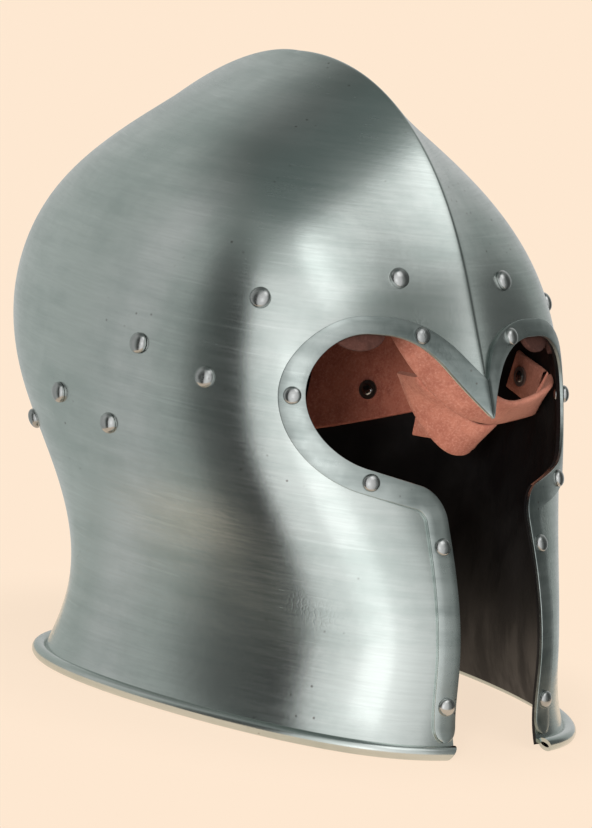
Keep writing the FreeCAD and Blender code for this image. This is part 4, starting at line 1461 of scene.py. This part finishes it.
@dataclass
class Studio:
    """Camera, lights and floor."""

    azimuth: float = -45.72
    elevation: float = 8.55
    roll: float = 8.09
    distance: float = 1874.0
    target: tuple[float, float, float] = (0.0, 6.31, 116.66)
    lens: float = 4259.8 * 36.0 / 828.0
    sensor: float = 36.0
    look_height: float = 0.12
    sheet_radius: float = 0.21
    sheet_fade: tuple[float, float] = (0.12, 0.2)
    sheet_shade: float = 0.16
    sheet_glow: float = 0.86
    backdrop: Color = (0.991, 0.807, 0.638)
    overhead: Color = (0.15, 0.18, 0.175)
    cool: Color = (0.97, 1.03, 1.0)
    level_around: tuple[tuple[float, float], ...] = (
        (-180.0, 0.52),
        (-160.0, 0.48),
        (-140.0, 0.60),
        (-124.0, 0.46),
        (-106.0, 0.11),
        (-84.0, 0.02),
        (-77.0, 0.95),
        (-64.0, 1.15),
        (-36.0, 1.25),
        (0.0, 0.9),
        (24.0, 0.30),
        (52.0, 0.09),
        (80.0, 0.12),
        (96.0, 0.42),
        (124.0, 0.66),
        (180.0, 0.52),
    )
    high_around: tuple[tuple[float, float], ...] = (
        (-180.0, 0.14),
        (-120.0, 0.24),
        (-80.0, 0.42),
        (-45.0, 0.85),
        (-10.0, 1.6),
        (20.0, 0.85),
        (60.0, 0.4),
        (120.0, 0.14),
        (180.0, 0.14),
    )

    def toward(self, azimuth: float, elevation: float) -> Vector:
        """Direction from the helmet at an azimuth and an elevation in degrees."""
        az, el = math.radians(azimuth), math.radians(elevation)
        return Vector((math.sin(az) * math.cos(el), -math.cos(az) * math.cos(el), math.sin(el)))

    def camera(self) -> None:
        """The camera at the photograph's angle."""
        back = self.toward(self.azimuth, self.elevation)
        az, roll = math.radians(self.azimuth), math.radians(self.roll)
        level = Vector((math.cos(az), math.sin(az), 0.0))
        plumb = back.cross(level)
        right = math.cos(roll) * level + math.sin(roll) * plumb
        up = -math.sin(roll) * level + math.cos(roll) * plumb
        data = bpy.data.cameras.new("camera")
        data.sensor_fit = "VERTICAL"
        data.sensor_height = self.sensor
        data.lens = self.lens
        data.clip_end = 60.0
        thing = bpy.data.objects.new("camera", data)
        turn = Matrix((right, up, back)).transposed().to_4x4()
        spot = (Vector(self.target) + back * self.distance) * MM
        thing.matrix_world = Matrix.Translation(spot) @ turn
        bpy.context.scene.collection.objects.link(thing)
        bpy.context.scene.camera = thing

    def floor(self) -> None:
        """A plain pale sheet under the helmet that fades into the backdrop's colour."""
        material, nodes, shader = new_material("floor_pale")
        link = material.node_tree.links.new
        place = nodes.add("ShaderNodeTexCoord").outputs["Object"]
        length = nodes.add("ShaderNodeVectorMath", operation="LENGTH", in_0=place).outputs["Value"]
        fade = nodes.remap(length, *self.sheet_fade)
        shade = tuple(self.sheet_shade * value for value in self.backdrop)
        glow = tuple(self.sheet_glow * value for value in self.backdrop)
        link(nodes.mix(fade, shade, (0.0, 0.0, 0.0)), shader.inputs["Base Color"])
        shader.inputs["Roughness"].default_value = 1.0
        shader.inputs["Specular IOR Level"].default_value = 0.0
        link(nodes.mix(fade, glow, self.backdrop), shader.inputs["Emission Color"])
        shader.inputs["Emission Strength"].default_value = 1.0
        deselect()
        bpy.ops.mesh.primitive_circle_add(vertices=96, radius=self.sheet_radius, fill_type="NGON")
        thing = bpy.context.active_object
        thing.name = "floor"
        dress(thing, material)

    def light(
        self,
        name: str,
        azimuth: float,
        elevation: float,
        away: float,
        size: tuple[float, float],
        power: float,
        mirrored: bool = True,
    ) -> None:
        """One soft rectangular light that faces the helmet.

        Args:
            name: The light's name.
            azimuth: Its direction, measured as the camera's.
            elevation: Its angle above the horizon.
            away: Its distance in metres.
            size: Its width and height in metres.
            power: Its power in watts.
            mirrored: Whether the steel mirrors it.
        """
        back = self.toward(azimuth, elevation)
        data = bpy.data.lights.new(name, "AREA")
        data.shape, data.size, data.size_y = "RECTANGLE", size[0], size[1]
        data.energy = power
        thing = bpy.data.objects.new(name, data)
        thing.visible_glossy = mirrored
        spot = Vector((0, 0, self.look_height)) + back * away
        turn = back.to_track_quat("Z", "Y").to_matrix().to_4x4()
        thing.matrix_world = Matrix.Translation(spot) @ turn
        bpy.context.scene.collection.objects.link(thing)

    def world(self) -> None:
        """The backdrop's colour, and soft studio panels that only the steel mirrors."""
        world = bpy.data.worlds.new("studio")
        world.use_nodes = True
        tree = world.node_tree
        nodes = Nodes(tree)
        back = tree.nodes["Background"]
        place = nodes.add("ShaderNodeTexCoord").outputs["Generated"]
        axes = nodes.add("ShaderNodeSeparateXYZ", in_0=place).outputs
        turn = nodes.math("ARCTAN2", axes["X"], nodes.math("MULTIPLY", axes["Y"], -1.0))
        share = nodes.math("ADD", nodes.math("DIVIDE", turn, 2 * math.pi), 0.5)
        level = self.ramp(nodes, share, self.level_around)
        over = self.ramp(nodes, share, self.high_around)
        rise = nodes.remap(axes["Z"], 0.55, 0.97)
        top = nodes.remap(axes["Z"], 0.9, 1.0)
        glow = nodes.mix(top, nodes.mix(rise, level, over), self.overhead)
        seen = nodes.add("ShaderNodeLightPath").outputs["Is Camera Ray"]
        tree.links.new(nodes.mix(seen, glow, self.backdrop), back.inputs["Color"])
        back.inputs["Strength"].default_value = 1.0
        bpy.context.scene.world = world

    def ramp(self, nodes: Nodes, share: Socket, stops: Sequence[tuple[float, float]]) -> Socket:
        """Brightness round the helmet.

        Args:
            nodes: The tree's helper.
            share: Azimuth as a share of a full turn, 0.5 in front.
            stops: Azimuths in degrees and brightness at each.

        Returns:
            The colour.
        """
        node = nodes.add("ShaderNodeValToRGB", Fac=share)
        node.color_ramp.interpolation = "EASE"
        stairs = node.color_ramp.elements
        for _ in stops[2:]:
            stairs.new(0.5)
        for element, (azimuth, value) in zip(stairs, stops):
            element.position = azimuth / 360.0 + 0.5
            tint = self.cool if value < 0.6 else (1.0, 1.0, 1.0)
            element.color = (*(value * part for part in tint), 1.0)
        return node.outputs["Color"]

    def build(self) -> None:
        """Everything round the helmet."""
        self.world()
        self.floor()
        self.camera()
        self.light("key", 6.0, 58.0, 2.0, (1.2, 1.2), 2.0)
        self.light("side", -44.0, 6.0, 2.3, (0.9, 1.2), 1.5)
        self.light("fill", -54.0, 8.0, 2.0, (0.3, 0.3), 26.0, mirrored=False)


@dataclass(frozen=True)
class LinerRivets:
    """Places of the liner rivets on the left half, and their sizes."""

    brow: tuple[float, float] = (32.3, 191.6)
    side_y: tuple[float, ...] = (-49.9, 0.7, 54.1, 95.0)
    side_z: tuple[float, ...] = (178.2, 149.1, 117.1, 97.0)
    back_height: float = 92.0
    shape: RivetShape = field(default_factory=lambda: RivetShape(4.5, 3.2, 5.6))

    def seats(self, liner: Liner) -> list[Seat]:
        """Seats on both halves and in the middle of the back.

        Args:
            liner: The liner, whose level lines find the back rivet's seat.

        Returns:
            Points and normals.
        """
        x, z = self.brow
        left = list(zip(*PLATE.from_front(np.array([x]), np.array([z]))))
        left += list(zip(*PLATE.from_side(np.array(self.side_y), np.array(self.side_z))))
        middle = liner.turns_at(np.array([math.pi]), np.array([self.back_height]))
        return left + mirrored_seats(left) + list(zip(*middle))


def dress_kept_nodes(nodes: dict, materials: dict[str, bpy.types.Material]) -> None:
    """Gives the solids that stay their materials; strap_washers and buckle_prong stay in the frame's own.

    Args:
        nodes: The frame's objects by node.
        materials: The material of each node.
    """
    for node, material in materials.items():
        for slot in nodes[node].material_slots:
            slot.material = material
        LOG.info("%s: kept, in %s", node, material.name)


def main() -> None:
    """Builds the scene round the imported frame."""
    logging.basicConfig(level=logging.INFO, format="%(name)s: %(message)s")
    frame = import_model()
    bpy.context.scene.view_settings.view_transform = "Standard"
    Studio().build()
    looks = Finishes()
    plate_steel = steel("plate_steel", looks.plate)
    trim_steel = steel("trim_steel", looks.trim)
    rivet_steel = steel("rivet_steel", looks.rivet)
    paint = black_paint("black_paint")
    liner_leather = leather("liner_leather", looks.liner)
    strap_leather = leather("strap_leather", looks.strap)
    kept = {
        "liner_washers": steel("washer_steel", looks.washer),
        "strap_rivets": rivet_steel,
        "strap_joint_rivets": rivet_steel,
        "buckle_frame": steel("buckle_steel", looks.buckle),
        "chin_strap_front_left": strap_leather,
        "chin_strap_rear_left": strap_leather,
        "chin_strap_front_right": strap_leather,
        "chin_strap_rear_right": strap_leather,
    }
    dress_kept_nodes(frame["nodes"], kept)

    plate = Plate()
    place_piece(plate.build(plate_steel, paint), ["skull"])
    place_piece(plate.bead(plate_steel), ["skull"])

    trim = FaceTrim()
    left_seats = trim.seats()
    top = trim.gap + trim.thickness
    rivet = RivetShape(3.8, 2.6, top + plate.thickness + 0.2, seat=top + 0.1)
    for side in Side:
        place_piece(trim.build(side, trim_steel), [f"face_trim_{side.word}"])
        seats = left_seats if side is Side.LEFT else mirrored_seats(left_seats)
        rivets = rivet.set_out(f"trim_rivet_set_{side.word}", seats, rivet_steel)
        place_piece(rivets, [f"trim_rivets_{side.word}"])

    liner, fixings = Liner(), LinerRivets()
    rivets = fixings.shape.set_out("liner_rivet_set", fixings.seats(liner), rivet_steel)
    place_piece(rivets, ["liner_rivets"])
    for side in Side:
        place_piece(liner.side(side, liner_leather), [f"liner_side_{side.word}"])
    # The brow band gets the darker leather, which is painted shade rather than the leather's own colour
    place_piece(liner.brow(leather("brow_leather_painted_shade", looks.brow)), ["liner_brow"])
    place_piece(liner.back(liner_leather), ["liner_back"])

    straps = ChinStraps()
    place_piece(straps.front(strap_leather), ["chin_strap_front_left"])
    place_piece(straps.rear(strap_leather), ["chin_strap_rear_left"])


if __name__ == "__main__":
    main()
